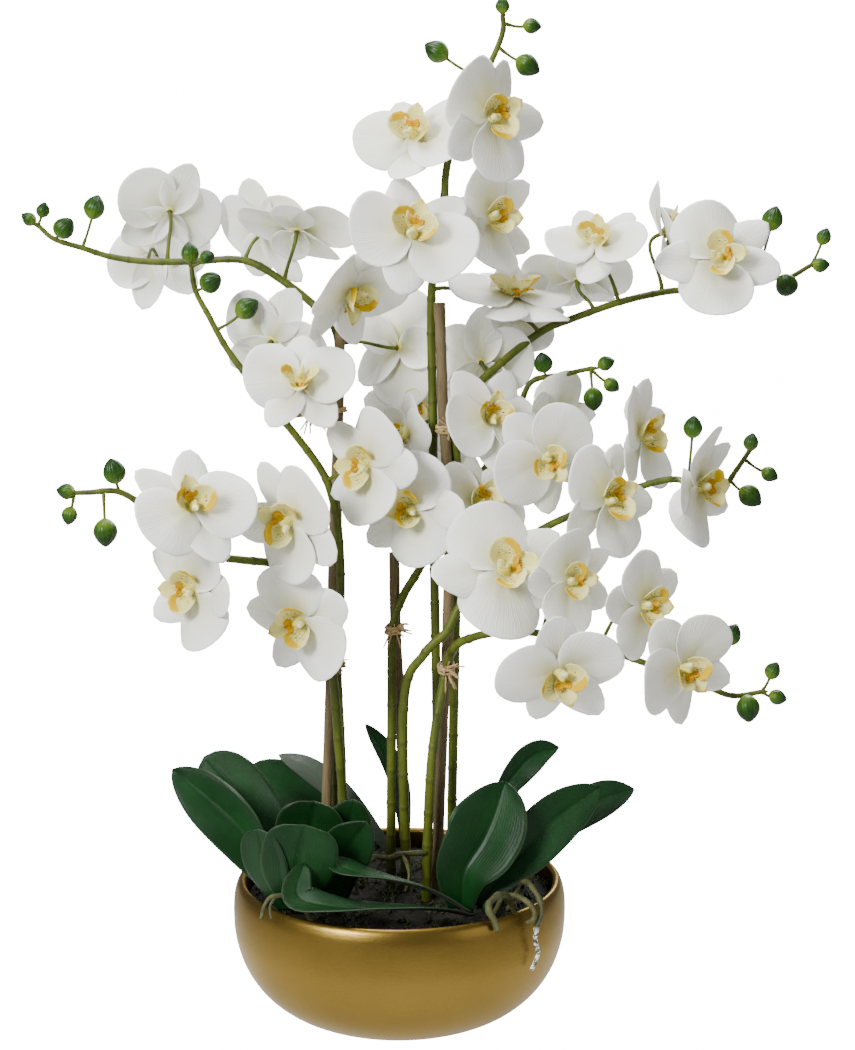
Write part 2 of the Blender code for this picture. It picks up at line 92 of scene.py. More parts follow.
# ------------------------------------------------------------------ tables shared with the frame
BOWL_OUTER = [
    (0, 0), (60, 0), (69, 0.3), (84, 3), (101, 12), (116, 26), (127, 44), (133, 64),
    (134.5, 82), (133.8, 97), (131.5, 105.5), (129.2, 108.8), (127.4, 109.7),
]
BOWL_INNER = [
    (125.6, 109.0), (124.2, 106), (125, 97), (127, 82), (124, 62), (112, 36), (96, 22), (74, 11),
    (0, 11),
]
SPIKES = {
    "a": [(30, 12, 75), (31, 14, 119), (30, 13, 255), (28, 14, 367), (27, 15, 479),
          (26, 13, 582), (35, 6, 646), (37, 5, 672), (43, 5, 700), (56, 5, 730),
          (71, 5, 755), (80, 2, 777), (80, 0, 790)],
    "b": [(-54, 52, 75), (-54, 53, 120), (-52, 55, 329), (-50, 56, 451), (-49, 57, 536),
          (-59, 58, 557), (-72, 60, 570), (-93, 62, 586), (-125, 65, 603), (-170, 70, 602),
          (-204, 70, 602), (-234, 70, 606), (-256, 68, 613), (-278, 66, 620), (-291, 66, 631)],
    "c": [(-47, 26, 75), (-47, 26, 120), (-48, 30, 200), (-51, 33.5, 279), (-47, 16, 340),
          (-48, 8, 388), (-53, 0, 421), (-63, 0, 444), (-90, 0, 480), (-120, 5, 516),
          (-136, 8, 538), (-149, 10, 562), (-159, 12, 581), (-162, 12, 600)],
    "d": [(-40, 16, 75), (-42, 14, 120), (-48, 8, 200), (-55, -8, 298), (-69, -25, 353),
          (-92, -35, 371), (-122, -45, 377), (-138, -55, 382), (-165, -65, 400),
          (-187, -70, 419), (-209, -75, 434), (-231, -78, 434), (-242, -80, 434)],
    "e": [(42, 8, 75), (42, 10, 119), (44, 10, 249), (46, 8, 364), (45.5, 3, 440),
          (45, 2, 474), (52, 10, 494), (70, 30, 513), (112, 42, 546), (138, 45, 557),
          (176, 50, 570), (211, 52, 578), (238, 52, 581), (274, 50, 589), (287, 50, 594),
          (309, 50, 589), (330, 50, 600)],
    "f": [(-8, 0, 75), (-7, 1, 119), (-6, 3, 255), (-5, 8, 312), (3, 12, 337), (14, 22, 354),
          (28, 28, 378), (45, 28, 405), (60, 26, 428), (80, 24, 455), (96, 23, 490),
          (106, 24, 509), (129, 24, 514), (152, 24, 519)],
    "g": [(6, -6, 75), (5, -8, 119), (4, -13, 258), (20, -20, 297), (38, -22, 316),
          (49, -20, 337), (80, -15, 372), (111, -15, 395), (137, -15, 408), (181, -15, 427),
          (214, -18, 436), (235, -20, 430), (251, -20, 428), (264, -20, 445), (273, -20, 459)],
    "h": [(22, -24, 75), (22, -24, 120), (26, -27, 214), (37.5, -18, 284), (45, -31, 306),
          (56, -44, 315), (70, -55, 321), (92, -62, 325), (131, -74, 320), (175, -85, 309),
          (231, -92, 289), (253, -92, 281), (275, -92, 284)],
}
STEM_R0, STEM_R1 = 3.9, 1.9
BUDS = {
    "a": [(80, 0, 797, 5.5), (102, 0, 782, 6), (99, 0, 753, 8.5), (30, 2, 763, 8.5)],
    "b": [(-298, 66, 636, 5.5), (-286, 62, 643, 5.5), (-269, 60, 629, 8.5), (-245, 66, 645, 8.5)],
    "c": [(-163, 13, 610, 7), (-149, 6, 607, 5.5), (-146, 2, 588, 8.5), (-119, 10, 567, 8.5)],
    "d": [(-248, -80, 435, 6), (-246, -80, 417, 6), (-212, -80, 450, 8.5), (-219, -84, 405, 9)],
    "e": [(309, 42, 584, 9), (298, 50, 636, 8.5), (337, 50, 600, 6), (339, 50, 622, 6)],
    "f": [(114, 18, 524, 7.5), (164, 24, 523, 6), (169, 26, 506, 6), (154, 16, 496, 8)],
    "g": [(228, -24, 477, 7.5), (274, -20, 465, 6), (288, -24, 441, 6), (273, -26, 424, 8.5)],
    "h": [(252, -84, 326, 7.5), (283, -92, 300, 6), (287, -92, 280, 6), (264, -98, 273, 9)],
}
# name, spike, centre x y z, azimuth, elevation, roll, radius, form
FLOWERS = [
    ("a1", "a", 70, -38, 712, 42, 5, 120, 47, "open"),
    ("a2", "a", 12, 7, 699, -20, 42, 180, 46, "open"),
    ("a3", "a", 11, -36, 625, 10, 30, 160, 49, "open"),
    ("a4", "a", 72, 24, 637, 50, 10, 90, 46, "cupped"),
    ("b6", "b", -1, 76, 532, 140, 0, 90, 48, "open"),
    ("b1", "b", -189, 98, 642, -165, 20, 20, 43, "open"),
    ("b2", "b", -202, 124, 606, 170, -20, -15, 44, "open"),
    ("b3", "b", -111, 98, 625, 150, 20, 0, 46, "open"),
    ("b4", "b", -81, 45, 628, 170, 60, 0, 48, "open"),
    ("b5", "b", -38, 12, 580, 50, -35, 0, 46, "cupped"),
    ("c1", "c", -100, 22, 541, 158, 20, 30, 44, "open"),
    ("c2", "c", -75, -30, 514, 0, 32, 0, 42, "open"),
    ("c3", "c", -23, -38, 449, -45, 5, -90, 46, "open"),
    ("d1", "d", -151, -100, 426, 18, 34, 200, 46, "open"),
    ("d2", "d", -155, -76, 360, -38, 0, -90, 46, "cupped"),
    ("d3", "d", -82, -62, 410, -35, -3, -115, 48, "open"),
    ("d4", "d", -75, -44, 329, -30, -8, -65, 48, "open"),
    ("e1", "e", 66, 38, 522, 180, 0, 0, 43, "open"),
    ("e2", "e", 90, 28, 576, 25, 74, 0, 50, "open"),
    ("e3", "e", 144, 66, 588, 170, 55, 0, 44, "open"),
    ("e4", "e", 156, 12, 618, -20, 50, 180, 40, "open"),
    ("e5", "e", 214, 72, 625, 80, 18, 180, 44, "cupped"),
    ("e6", "e", 250, 18, 606, 5, 18, 100, 47, "open"),
    ("f1", "f", 71, -26, 484, 25, 22, 180, 42, "open"),
    ("f2", "f", 124, 26, 476, 50, -5, 60, 42, "cupped"),
    ("f3", "f", 114, -36, 455, 15, -5, 40, 44, "open"),
    ("f4", "f", 62, -5, 416, 35, 20, 150, 42, "open"),
    ("g1", "g", 228, -60, 436, 58, 0, 90, 46, "cupped"),
    ("g2", "g", 160, -49, 424, 45, 10, 118, 46, "open"),
    ("g3", "g", 190, 4, 468, 62, 8, 130, 44, "cupped"),
    ("h1", "h", 79, -96, 378, 22, 28, 92, 54, "open"),
    ("h2", "h", 129, -92, 369, 38, 5, 90, 39, "cupped"),
    ("h3", "h", 120, -120, 306, 15, -25, 15, 48, "open"),
    ("h4", "h", 183, -100, 352, 48, 0, 80, 42, "open"),
    ("h5", "h", 211, -122, 310, 32, -10, 35, 44, "open"),
    ("m1", "a", 7, 24, 468, -50, 0, 0, 30, "open"),
    ("m2", "a", 11, -34, 414, -25, 8, -90, 44, "open"),
]
# flowers low inside the arrangement that have no node of their own in the frame
INNER_FLOWERS = [
    ("x1", "a", 98, 56, 566, 35, 12, 110, 38, "cupped"),
    ("x2", "f", 4, 66, 418, 8, -8, 95, 46, "open"),
    ("x3", "f", 12, 78, 480, -18, 10, 80, 44, "open"),
]
# leaves of each plant: midrib from base to tip, width, way the face looks at base and at tip,
# depth of the fold, bluntness of the tip
LEAVES = {
    "left": [
        ([(-84, -50, 104), (-110, -48, 141), (-125, -44, 163), (-151, -34, 184), (-180, -22, 204)],
         48, (-0.5, -1, 0.3), (-0.2, -1, 0.6), 0.75, 0.3),
        ([(-80, -30, 104), (-105, -20, 147), (-131, -6, 183), (-158, 6, 207)],
         50, (0.2, -1, 0.4), (0.3, -1, 0.5), 0.12, 0.8),
        ([(-88, -66, 103), (-101, -76, 141), (-108, -84, 174)],
         38, (-0.5, -1, 0.2), (-0.4, -1, 0.1), 0.12, 1.0),
        ([(-78, -64, 103), (-77, -82, 143), (-70, -90, 179)],
         60, (0, -1, 0.3), (0, -1, 0.1), 0.10, 1.5),
        ([(-54, -52, 103), (-44, -62, 144), (-24, -72, 176)],
         42, (0.1, -1, 0.3), (0.2, -1, 0.2), 0.20, 0.4),
        ([(-70, -42, 103), (-71, -50, 151), (-65, -56, 188)],
         56, (0, -1, 0.3), (0, -1, 0.2), 0.15, 1.2),
        ([(-46, -40, 103), (-42, -44, 149), (-35, -48, 187)],
         38, (0, -1, 0.3), (0, -1, 0.2), 0.15, 0.8),
    ],
    "back": [
        ([(-7, 70, 104), (-33, 72, 138), (-56, 76, 161), (-81, 82, 178), (-104, 88, 186)],
         22, (0.2, 0.8, -0.6), (0.2, 0.8, -0.7), 0.25, 0.2),
        ([(4, 56, 104), (0, 56, 157), (-10, 58, 189), (-29, 60, 220)],
         25, (0.9, -0.8, 0.2), (0.9, -0.7, 0.2), 0.30, 0.2),
        ([(-36, 78, 104), (-64, 82, 141), (-94, 86, 158), (-130, 88, 173)],
         42, (0.3, -1, 0.6), (0.2, -1, 0.6), 0.20, 0.8),
    ],
    "right": [
        ([(50, -62, 103), (52, -62, 132), (66, -57, 154), (76, -50, 174), (84, -40, 199)],
         66, (-0.3, -1, 0.1), (-0.1, -1, 0.3), 0.75, 0.4),
        ([(62, -64, 105), (81, -60, 131), (102, -52, 151), (128, -40, 172), (159, -28, 191)],
         44, (0.1, -1, 0.3), (0.2, -1, 0.5), 0.40, 0.5),
        ([(76, -10, 104), (122, -4, 148), (161, 4, 170), (191, 12, 178)],
         33, (0.1, -1, 0.5), (0.2, -1, 0.7), 0.40, 0.1),
        ([(66, 6, 106), (82, 16, 168), (97, 24, 191), (113, 30, 203), (131, 38, 206)],
         27, (0.6, -1, 0.2), (0.4, -1, 0.6), 0.45, 0.0),
    ],
    "front": [
        ([(57, -80, 103), (28, -96, 114), (-13, -108, 119), (-48, -110, 121), (-76, -100, 126),
          (-72, -86, 148)], 30, (0, 0.35, 1), (0.2, -1, 0.1), 0.25, 0.8),
        ([(56, -76, 104), (25, -83, 124), (-7, -88, 135), (-35, -88, 142), (-54, -82, 148)],
         27, (0, 0.3, 1), (0, -0.5, 0.8), 0.25, 0.6),
    ],
}
STAKES = {
    "left": [(-62, 39, 75), (-61, 40, 150), (-57, 42, 262), (-53, 45, 391), (-49, 45, 484),
             (-47, 45, 567)],
    "right": [(29, -10, 75), (30, -10, 102), (35, -10, 241), (38, -8, 298), (40, -5, 402),
              (35, 0, 490), (32, 5, 572)],
    "middle": [(6, 12, 75), (5, 13, 119), (2, 15, 210), (-3, 17, 312), (-4, 18, 372)],
}
STAKE_R = 4.3
# roots: route, radius, the node each one stands for
ROOTS = {
    "right": ([(86, -58, 100), (94, -64, 123), (100, -74, 128), (106, -86, 124),
               (110, -90, 116), (110, -92, 108), (106, -94, 98), (106, -93, 87),
               (108, -90, 76), (103, -92, 64)], 2.3),
    "middle": ([(22, -27, 137), (2, -34, 138), (-8, -40, 137), (-23, -42, 138), (-31, -43, 134),
                (-34, -44, 124), (-33, -46, 112)], 2.2),
    "right_curl": ([(74, -70, 100), (82, -78, 118), (92, -86, 121), (100, -93, 118),
                    (104, -96, 113), (104, -97, 107), (98, -99, 104)], 2.1),
    "right_thick": ([(94, -74, 98), (85, -80, 117), (77, -95, 125), (70, -105, 123),
                     (69, -111, 118), (73, -113, 112), (76, -114, 104)], 2.9),
    "left": ([(-66, -84, 99), (-77, -92, 122), (-87, -98, 126), (-96, -102, 126),
              (-101, -104, 121), (-104, -106, 110)], 2.0),
    "left_twig": ([(-93, -101, 126), (-97, -106, 120), (-96, -108, 111)], 1.3),
    "middle_twig": ([(2, -34, 138), (7, -42, 131), (8, -47, 122), (5, -50, 112)], 1.7),
    "middle_tip": ([(-18, -41, 138), (-25, -49, 134), (-27, -52, 124), (-24, -53, 114)], 1.5),
}
TIES = {
    "1": ("right", "e", 474), "2": ("right", "h", 284), "3": ("middle", "f", 312),
    "4": ("left", "c", 279), "5": ("left", "c", 482),
}
TIE_NODES = 4


# ------------------------------------------------------------------ settings
class OrchidSettings(bpy.types.PropertyGroup):
    """Sizes and colours that a user may change before building."""

    petal_thickness: bpy.props.FloatProperty(
        name="Petal Thickness", description="Thickness of each petal", default=0.0006,
        min=0.0002, subtype="DISTANCE", unit="LENGTH")
    petal_colour: bpy.props.FloatVectorProperty(
        name="Petal Colour", description="Outer colour of the petals", size=3,
        default=(0.86, 0.86, 0.77), min=0.0, max=1.0, subtype="COLOR")
    # The heart colour is partly the petals' own cream tint and partly painted shade where the
    # petals overlap towards the flower's centre.
    heart_cream_and_shade: bpy.props.FloatVectorProperty(
        name="Heart Colour", description="Shade of the petals towards the flower's centre",
        size=3, default=(0.46, 0.47, 0.22), min=0.0, max=1.0, subtype="COLOR")
    leaf_colour: bpy.props.FloatVectorProperty(
        name="Leaf Colour", description="Main colour of the strap leaves", size=3,
        default=(0.002, 0.018, 0.003), min=0.0, max=1.0, subtype="COLOR")
    stem_colour: bpy.props.FloatVectorProperty(
        name="Stem Colour", description="Main colour of the flower stems", size=3,
        default=(0.060, 0.076, 0.006), min=0.0, max=1.0, subtype="COLOR")
    gold_colour: bpy.props.FloatVectorProperty(
        name="Gold Colour", description="Colour of the bowl's metallic paint", size=3,
        default=(0.200, 0.130, 0.028), min=0.0, max=1.0, subtype="COLOR")
    ring_spacing: bpy.props.FloatProperty(
        name="Ring Spacing", description="Distance between the rings of a stem", default=0.027,
        min=0.005, subtype="DISTANCE", unit="LENGTH")
    moss_tufts: bpy.props.IntProperty(
        name="Moss Tufts", description="Number of moss tufts scattered on the soil",
        default=420, min=0, max=2000)


# ------------------------------------------------------------------ mesh helpers
def empty_part():
    return {"v": np.zeros((0, 3)), "f": [], "uv": np.zeros((0, 2)), "tint": np.zeros((0, 3))}


def join_parts(parts):
    """One part from several: vertices, faces, a UV pair and a tint triple per vertex."""
    out = empty_part()
    for part in parts:
        start = len(out["v"])
        out["f"] += [tuple(i + start for i in face) for face in part["f"]]
        for key in ("v", "uv", "tint"):
            out[key] = np.vstack([out[key], part[key]])
    return out


def placed(part, matrix):
    """A copy of a part with its vertices moved by a 4x4 matrix."""
    m = np.array(matrix)
    moved = dict(part)
    moved["v"] = part["v"] @ m[:3, :3].T + m[:3, 3]
    return moved


def thick_grid(points, thickness, uv, tint):
    """A closed leaf-like solid from a grid of points (rows, columns, 3), in millimetres."""
    along = np.gradient(points, axis=0)
    across = np.gradient(points, axis=1)
    normal = np.cross(along, across)
    length = np.linalg.norm(normal, axis=2, keepdims=True)
    normal = normal / np.maximum(length, 1e-9)
    half = np.full(points.shape[:2], thickness * 0.5)
    for edge in (half[0], half[-1], half[:, 0], half[:, -1]):
        edge *= 0.45
    top = points + normal * half[..., None]
    low = points - normal * half[..., None]
    rows, cols = points.shape[:2]
    count = rows * cols
    faces = []
    for i in range(rows - 1):
        for j in range(cols - 1):
            a, b = i * cols + j, i * cols + j + 1
            c, d = b + cols, a + cols
            faces.append((a, d, c, b))
            faces.append((a + count, b + count, c + count, d + count))
    ring = list(range(cols))
    ring += [i * cols + cols - 1 for i in range(1, rows)]
    ring += [(rows - 1) * cols + j for j in range(cols - 2, -1, -1)]
    ring += [i * cols for i in range(rows - 2, 0, -1)]
    for k, a in enumerate(ring):
        b = ring[(k + 1) % len(ring)]
        faces.append((a, b, b + count, a + count))
    shape = (count, 3)
    return {
        "v": np.vstack([top.reshape(shape), low.reshape(shape)]) * MM,
        "f": faces,
        "uv": np.vstack([uv.reshape(-1, 2)] * 2),
        "tint": np.vstack([tint.reshape(-1, 3)] * 2),
    }


def turned(profile, sides, tint=(0, 0, 0), ridge=0.0, folds=3):
    """A closed solid turned about Z from (radius, height) pairs that start and end at radius 0."""
    inner = profile[1:-1]
    verts = [(0, 0, profile[0][1])]
    uv = [(0.0, 0.0)]
    top = profile[-1][1]
    for r, z in inner:
        for k in range(sides):
            a = 2 * math.pi * k / sides
            swell = 1 + ridge * math.cos(folds * a)
            verts.append((r * swell * math.cos(a), r * swell * math.sin(a), z))
            uv.append(((z - profile[0][1]) / max(top - profile[0][1], 1e-9), k / sides))
    verts.append((0, 0, top))
    uv.append((1.0, 0.0))
    last = len(verts) - 1
    faces = []
    for k in range(sides):
        j = (k + 1) % sides
        faces.append((0, 1 + j, 1 + k))
        for i in range(len(inner) - 1):
            a = 1 + i * sides
            faces.append((a + k, a + j, a + sides + j, a + sides + k))
        a = 1 + (len(inner) - 1) * sides
        faces.append((a + k, a + j, last))
    return {"v": np.array(verts) * MM, "f": faces, "uv": np.array(uv),
            "tint": np.tile(np.array(tint, float), (len(verts), 1))}


def smooth_route(points, steps):
    """Points of a Catmull-Rom curve through control points, in millimetres."""
    pts = [Vector(p) for p in points]
    ends = [pts[0] * 2 - pts[1]] + pts + [pts[-1] * 2 - pts[-2]]
    out = []
    for i in range(len(pts) - 1):
        a, b, c, d = ends[i:i + 4]
        for k in range(steps):
            t = k / steps
            out.append(0.5 * ((2 * b) + (c - a) * t + (2 * a - 5 * b + 4 * c - d) * t * t
                              + (3 * b - a - 3 * c + d) * t ** 3))
    out.append(pts[-1])
    return out


def rod(points, radii, sides=12, tint=(0, 0, 0), lump=0.0, seed=0):
    """A closed round rod along points, with a radius at each, all in millimetres."""
    pts = [Vector(p) for p in points]
    count = len(pts)
    side = None
    verts, uv = [], []
    run = 0.0
    for i, place in enumerate(pts):
        ahead = (pts[min(i + 1, count - 1)] - pts[max(i - 1, 0)]).normalized()
        if side is None:
            side = ahead.orthogonal().normalized()
        side = (side - ahead * side.dot(ahead)).normalized()
        up = ahead.cross(side)
        if i:
            run += (place - pts[i - 1]).length
        for k in range(sides):
            a = 2 * math.pi * k / sides
            way = side * math.cos(a) + up * math.sin(a)
            r = radii[i]
            if lump:
                r *= 1 + lump * noise.noise((place + way * radii[i]) * 0.12 + Vector((seed, 0, 0)))
            verts.append(place + way * r)
            uv.append((run * MM, k / sides))
    faces = []
    for i in range(count - 1):
        for k in range(sides):
            j = (k + 1) % sides
            a = i * sides
            faces.append((a + k, a + j, a + sides + j, a + sides + k))
    faces.append(tuple(reversed(range(sides))))
    a = (count - 1) * sides
    faces.append(tuple(a + k for k in range(sides)))
    return {"v": np.array([p[:] for p in verts]) * MM, "f": faces, "uv": np.array(uv),
            "tint": np.tile(np.array(tint, float), (len(verts), 1))}


def make_object(name, part, material, smooth=True):
    """A finished mesh object at the origin from a part."""
    mesh = bpy.data.meshes.new(name)
    mesh.from_pydata([tuple(v) for v in part["v"]], [], part["f"])
    layer = mesh.uv_layers.new(name="Pattern")
    corners = np.zeros(len(mesh.loops), np.int32)
    mesh.loops.foreach_get("vertex_index", corners)
    layer.data.foreach_set("uv", part["uv"][corners].astype(np.float32).ravel())
    if np.any(part["tint"]):
        tint = mesh.color_attributes.new(name="Tint", type="FLOAT_COLOR", domain="POINT")
        rgba = np.ones((len(part["v"]), 4), np.float32)
        rgba[:, :3] = part["tint"]
        tint.data.foreach_set("color", rgba.ravel())
    mesh.materials.append(material)
    if smooth:
        mesh.shade_smooth()
    mesh.update()
    obj = bpy.data.objects.new(name, mesh)
    bpy.context.scene.collection.objects.link(obj)
    return obj


def finish_piece(obj, slot, *nodes):
    """Give a piece its body and hide the frame nodes it stands for; the slot is not used."""
    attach(obj, BODY)
    if nodes:
        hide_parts(*nodes)
    return obj


# ------------------------------------------------------------------ node helpers
class Nodes:
    """Small helper that adds nodes to a tree, sets their inputs and joins them."""

    def __init__(self, tree):
        self.tree = tree

    def add(self, kind, feeds=(), **settings):
        """A node with its settings, and its inputs fed by name or number."""
        node = self.tree.nodes.new(kind)
        for key, value in settings.items():
            setattr(node, key, value)
        for key, value in dict(feeds).items():
            self.feed(node.inputs[key], value)
        return node

    def join(self, source, target):
        self.tree.links.new(source, target)

    def feed(self, socket, value):
        """Join an output to an input, or set the input to a plain value or colour."""
        if isinstance(value, bpy.types.NodeSocket):
            self.join(value, socket)
        elif isinstance(value, (tuple, list)) and socket.type == "RGBA":
            socket.default_value = (*value[:3], 1.0)
        else:
            socket.default_value = value

    def math(self, operation, a, b=None, clamp=False):
        feeds = {0: a} if b is None else {0: a, 1: b}
        return self.add("ShaderNodeMath", feeds, operation=operation, use_clamp=clamp).outputs[0]

    def plus(self, a, b, clamp=False):
        return self.math("ADD", a, b, clamp)

    def minus(self, a, b, clamp=False):
        return self.math("SUBTRACT", a, b, clamp)

    def times(self, a, b, clamp=False):
        return self.math("MULTIPLY", a, b, clamp)

    def rise(self, value, start, slope):
        """0 below a start, then rising by a slope and held at 1."""
        return self.times(self.minus(value, start), slope, clamp=True)

    def mix(self, factor, a, b):
        feeds = {0: factor, 6: a, 7: b}
        return self.add("ShaderNodeMix", feeds, data_type="RGBA").outputs[2]

    def parts(self, vector, kind="ShaderNodeSeparateXYZ"):
        return self.add(kind, {0: vector})

    def tint(self):
        """The three channels of the Tint colour attribute."""
        colour = self.add("ShaderNodeVertexColor", layer_name="Tint").outputs["Color"]
        return self.parts(colour, "ShaderNodeSeparateColor")

    def ramp(self, value, stops):
        node = self.add("ShaderNodeValToRGB", {0: value})
        ramp = node.color_ramp
        while len(ramp.elements) < len(stops):
            ramp.elements.new(0.5)
        for element, (place, colour) in zip(ramp.elements, stops):
            element.position = place
            element.color = (*colour, 1.0)
        return node.outputs[0]

    def noise(self, vector, scale, detail=3.0, rough=0.5):
        feeds = {"Vector": vector, "Scale": scale, "Detail": detail, "Roughness": rough}
        return self.add("ShaderNodeTexNoise", feeds).outputs["Fac"]

    def scaled(self, vector, scale):
        return self.add("ShaderNodeMapping", {"Vector": vector, "Scale": scale}).outputs[0]

    def group(self, group, **inputs):
        node = self.add("ShaderNodeGroup", node_tree=group)
        for key, value in inputs.items():
            self.feed(node.inputs[key], value)
        return node


def node_group(kind, name, inputs, outputs):
    """A new node group with named sockets, and its Nodes helper, input and output."""
    tree = bpy.data.node_groups.new(name, kind)
    for label, socket_kind, value in inputs:
        socket = tree.interface.new_socket(name=label, in_out="INPUT", socket_type=socket_kind)
        if value is not None:
            socket.default_value = value
    for label, socket_kind in outputs:
        tree.interface.new_socket(name=label, in_out="OUTPUT", socket_type=socket_kind)
    n = Nodes(tree)
    return tree, n, n.add("NodeGroupInput"), n.add("NodeGroupOutput")


def fan_vein_group():
    """Fine raised veins that run along U and fork: a height and a mask."""
    tree, n, gin, gout = node_group(
        "ShaderNodeTree", "Fan Veins",
        [("UV", "NodeSocketVector", None), ("Count", "NodeSocketFloat", 12.0),
         ("Wander", "NodeSocketFloat", 0.03), ("Width", "NodeSocketFloat", 0.25)],
        [("Height", "NodeSocketFloat"), ("Mask", "NodeSocketFloat")])
    uv = gin.outputs["UV"]
    parts = n.parts(uv)
    drift = n.noise(n.scaled(uv, (7, 5, 1)), 1.0, 2.0)
    drift = n.times(n.minus(drift, 0.5), gin.outputs["Wander"])
    across = n.plus(parts.outputs["Y"], drift)
    lines = []
    for factor, start in ((1.0, 0.0), (2.0, 0.42)):
        phase = n.times(n.times(across, gin.outputs["Count"]), factor)
        wave = n.math("ABSOLUTE", n.math("SINE", n.times(phase, math.pi)))
        line = n.minus(1.0, n.math("DIVIDE", wave, gin.outputs["Width"]), clamp=True)
        lines.append(n.times(line, n.rise(parts.outputs["X"], start, 5.0)))
    both = n.math("MAXIMUM", lines[0], n.times(lines[1], 0.6))
    tip = n.times(n.minus(1.02, parts.outputs["X"]), 8.0, clamp=True)
    mask = n.times(both, tip)
    n.join(mask, gout.inputs["Mask"])
    grain = n.noise(n.scaled(uv, (60, 90, 1)), 1.0, 3.0)
    n.join(n.plus(mask, n.times(grain, 0.35)), gout.inputs["Height"])
    return tree


def mottle_group():
    """Soft patches between two colours, with a mask and a fine grain height."""
    tree, n, gin, gout = node_group(
        "ShaderNodeTree", "Mottle",
        [("Vector", "NodeSocketVector", None), ("Light", "NodeSocketColor", (1, 1, 1, 1)),
         ("Dark", "NodeSocketColor", (0, 0, 0, 1)), ("Patch", "NodeSocketFloat", 20.0),
         ("Grain", "NodeSocketFloat", 400.0)],
        [("Color", "NodeSocketColor"), ("Mask", "NodeSocketFloat"), ("Height", "NodeSocketFloat")])
    patch = n.noise(gin.outputs["Vector"], gin.outputs["Patch"], 4.0)
    grain = n.noise(gin.outputs["Vector"], gin.outputs["Grain"], 3.0)
    mask = n.rise(patch, 0.32, 2.8)
    mask = n.plus(n.times(mask, 0.8), n.times(grain, 0.2))
    n.join(mask, gout.inputs["Mask"])
    n.join(n.mix(mask, gin.outputs["Dark"], gin.outputs["Light"]), gout.inputs["Color"])
    n.join(grain, gout.inputs["Height"])
    return tree


def new_material(name):
    """An empty node material: itself, its Nodes helper and its Principled shader."""
    mat = bpy.data.materials.new(name)
    mat.use_nodes = True
    tree = mat.node_tree
    tree.nodes.clear()
    n = Nodes(tree)
    out = n.add("ShaderNodeOutputMaterial")
    shader = n.add("ShaderNodeBsdfPrincipled")
    n.join(shader.outputs[0], out.inputs["Surface"])
    return mat, n, shader


def add_bump(n, shader, height, distance, strength):
    bump = n.add("ShaderNodeBump", {"Distance": distance, "Strength": strength, "Height": height})
    n.join(bump.outputs[0], shader.inputs["Normal"])


def set_shader(shader, **values):
    """Set named sockets of a shader: Specular_IOR_Level=0.2 and so on."""
    for key, value in values.items():
        shader.inputs[key.replace("_", " ")].default_value = value


def object_coords(n):
    return n.add("ShaderNodeTexCoord").outputs["Object"]


def pattern_uv(n):
    return n.add("ShaderNodeUVMap", uv_map="Pattern").outputs[0]


def cached(name, maker):
    """A material or node group made once and then reused."""
    found = bpy.data.materials.get(name) or bpy.data.node_groups.get(name)
    return found if found else maker()


def veins():
    return cached("Fan Veins", fan_vein_group)


def mottle():
    return cached("Mottle", mottle_group)


# ------------------------------------------------------------------ materials
def petal_material():
    s = bpy.context.scene.orchid
    mat, n, shader = new_material("Petal Cloth")
    uv = pattern_uv(n)
    parts = n.parts(uv)
    vein = n.group(veins(), UV=uv, Count=26.0, Wander=0.03, Width=0.45)
    soft = n.noise(object_coords(n), 45.0, 3.0)
    reach = n.plus(parts.outputs["X"], n.times(n.minus(soft, 0.5), 0.3))
    # Ramp out from the heart: painted shade over a cream tint at the centre, the petals' own
    # colour in the middle, and a painted glow that brightens the outer rims.
    heart = n.ramp(reach, [(0.06, tuple(s.heart_cream_and_shade)), (0.30, (0.64, 0.64, 0.43)),
                           (0.62, tuple(s.petal_colour)), (1.0, (0.97, 0.97, 0.94))])
    tone = n.noise(object_coords(n), 16.0, 2.0)
    tone = n.rise(tone, 0.44, 4.0)
    colour = n.mix(n.times(tone, 0.42), heart, (0.60, 0.61, 0.40))
    colour = n.mix(n.times(vein.outputs["Mask"], 0.08), colour, (0.56, 0.57, 0.50))
    n.join(colour, shader.inputs["Base Color"])
    set_shader(shader, Roughness=0.55, Specular_IOR_Level=0.35, Subsurface_Weight=0.3,
               Subsurface_Radius=(1.0, 0.97, 0.90), Subsurface_Scale=0.0025)
    add_bump(n, shader, vein.outputs["Height"], 0.0005, 0.36)
    return mat


def lip_material():
    mat, n, shader = new_material("Flower Lip")
    uv = pattern_uv(n)
    parts = n.tint()
    at = object_coords(n)
    blot = n.noise(at, 420.0, 3.0)
    spread = n.times(n.minus(blot, 0.5), 0.5)
    depth = n.plus(parts.outputs["Red"], spread)
    yellow = n.rise(depth, 0.26, 5.0)
    orange = n.rise(depth, 0.92, 5.0)
    cream = n.mix(parts.outputs["Blue"], (0.84, 0.80, 0.38), (0.74, 0.68, 0.15))
    colour = n.mix(yellow, cream, (0.66, 0.43, 0.0))
    colour = n.mix(orange, colour, (0.76, 0.17, 0.0))
    fleck = n.noise(n.scaled(at, (1.0, 1.0, 2.6)), 520.0, 2.0, 0.6)
    fleck = n.rise(fleck, 0.55, 22.0)
    stripe = n.times(fleck, parts.outputs["Green"])
    colour = n.mix(stripe, colour, (0.10, 0.022, 0.004))
    n.join(colour, shader.inputs["Base Color"])
    set_shader(shader, Specular_IOR_Level=0.15, Roughness=0.42, Subsurface_Weight=0.1,
               Subsurface_Radius=(1.0, 0.85, 0.4), Subsurface_Scale=0.0012)
    add_bump(n, shader, n.noise(n.scaled(uv, (30, 30, 1)), 1.0, 3.0), 0.0004, 0.6)
    return mat


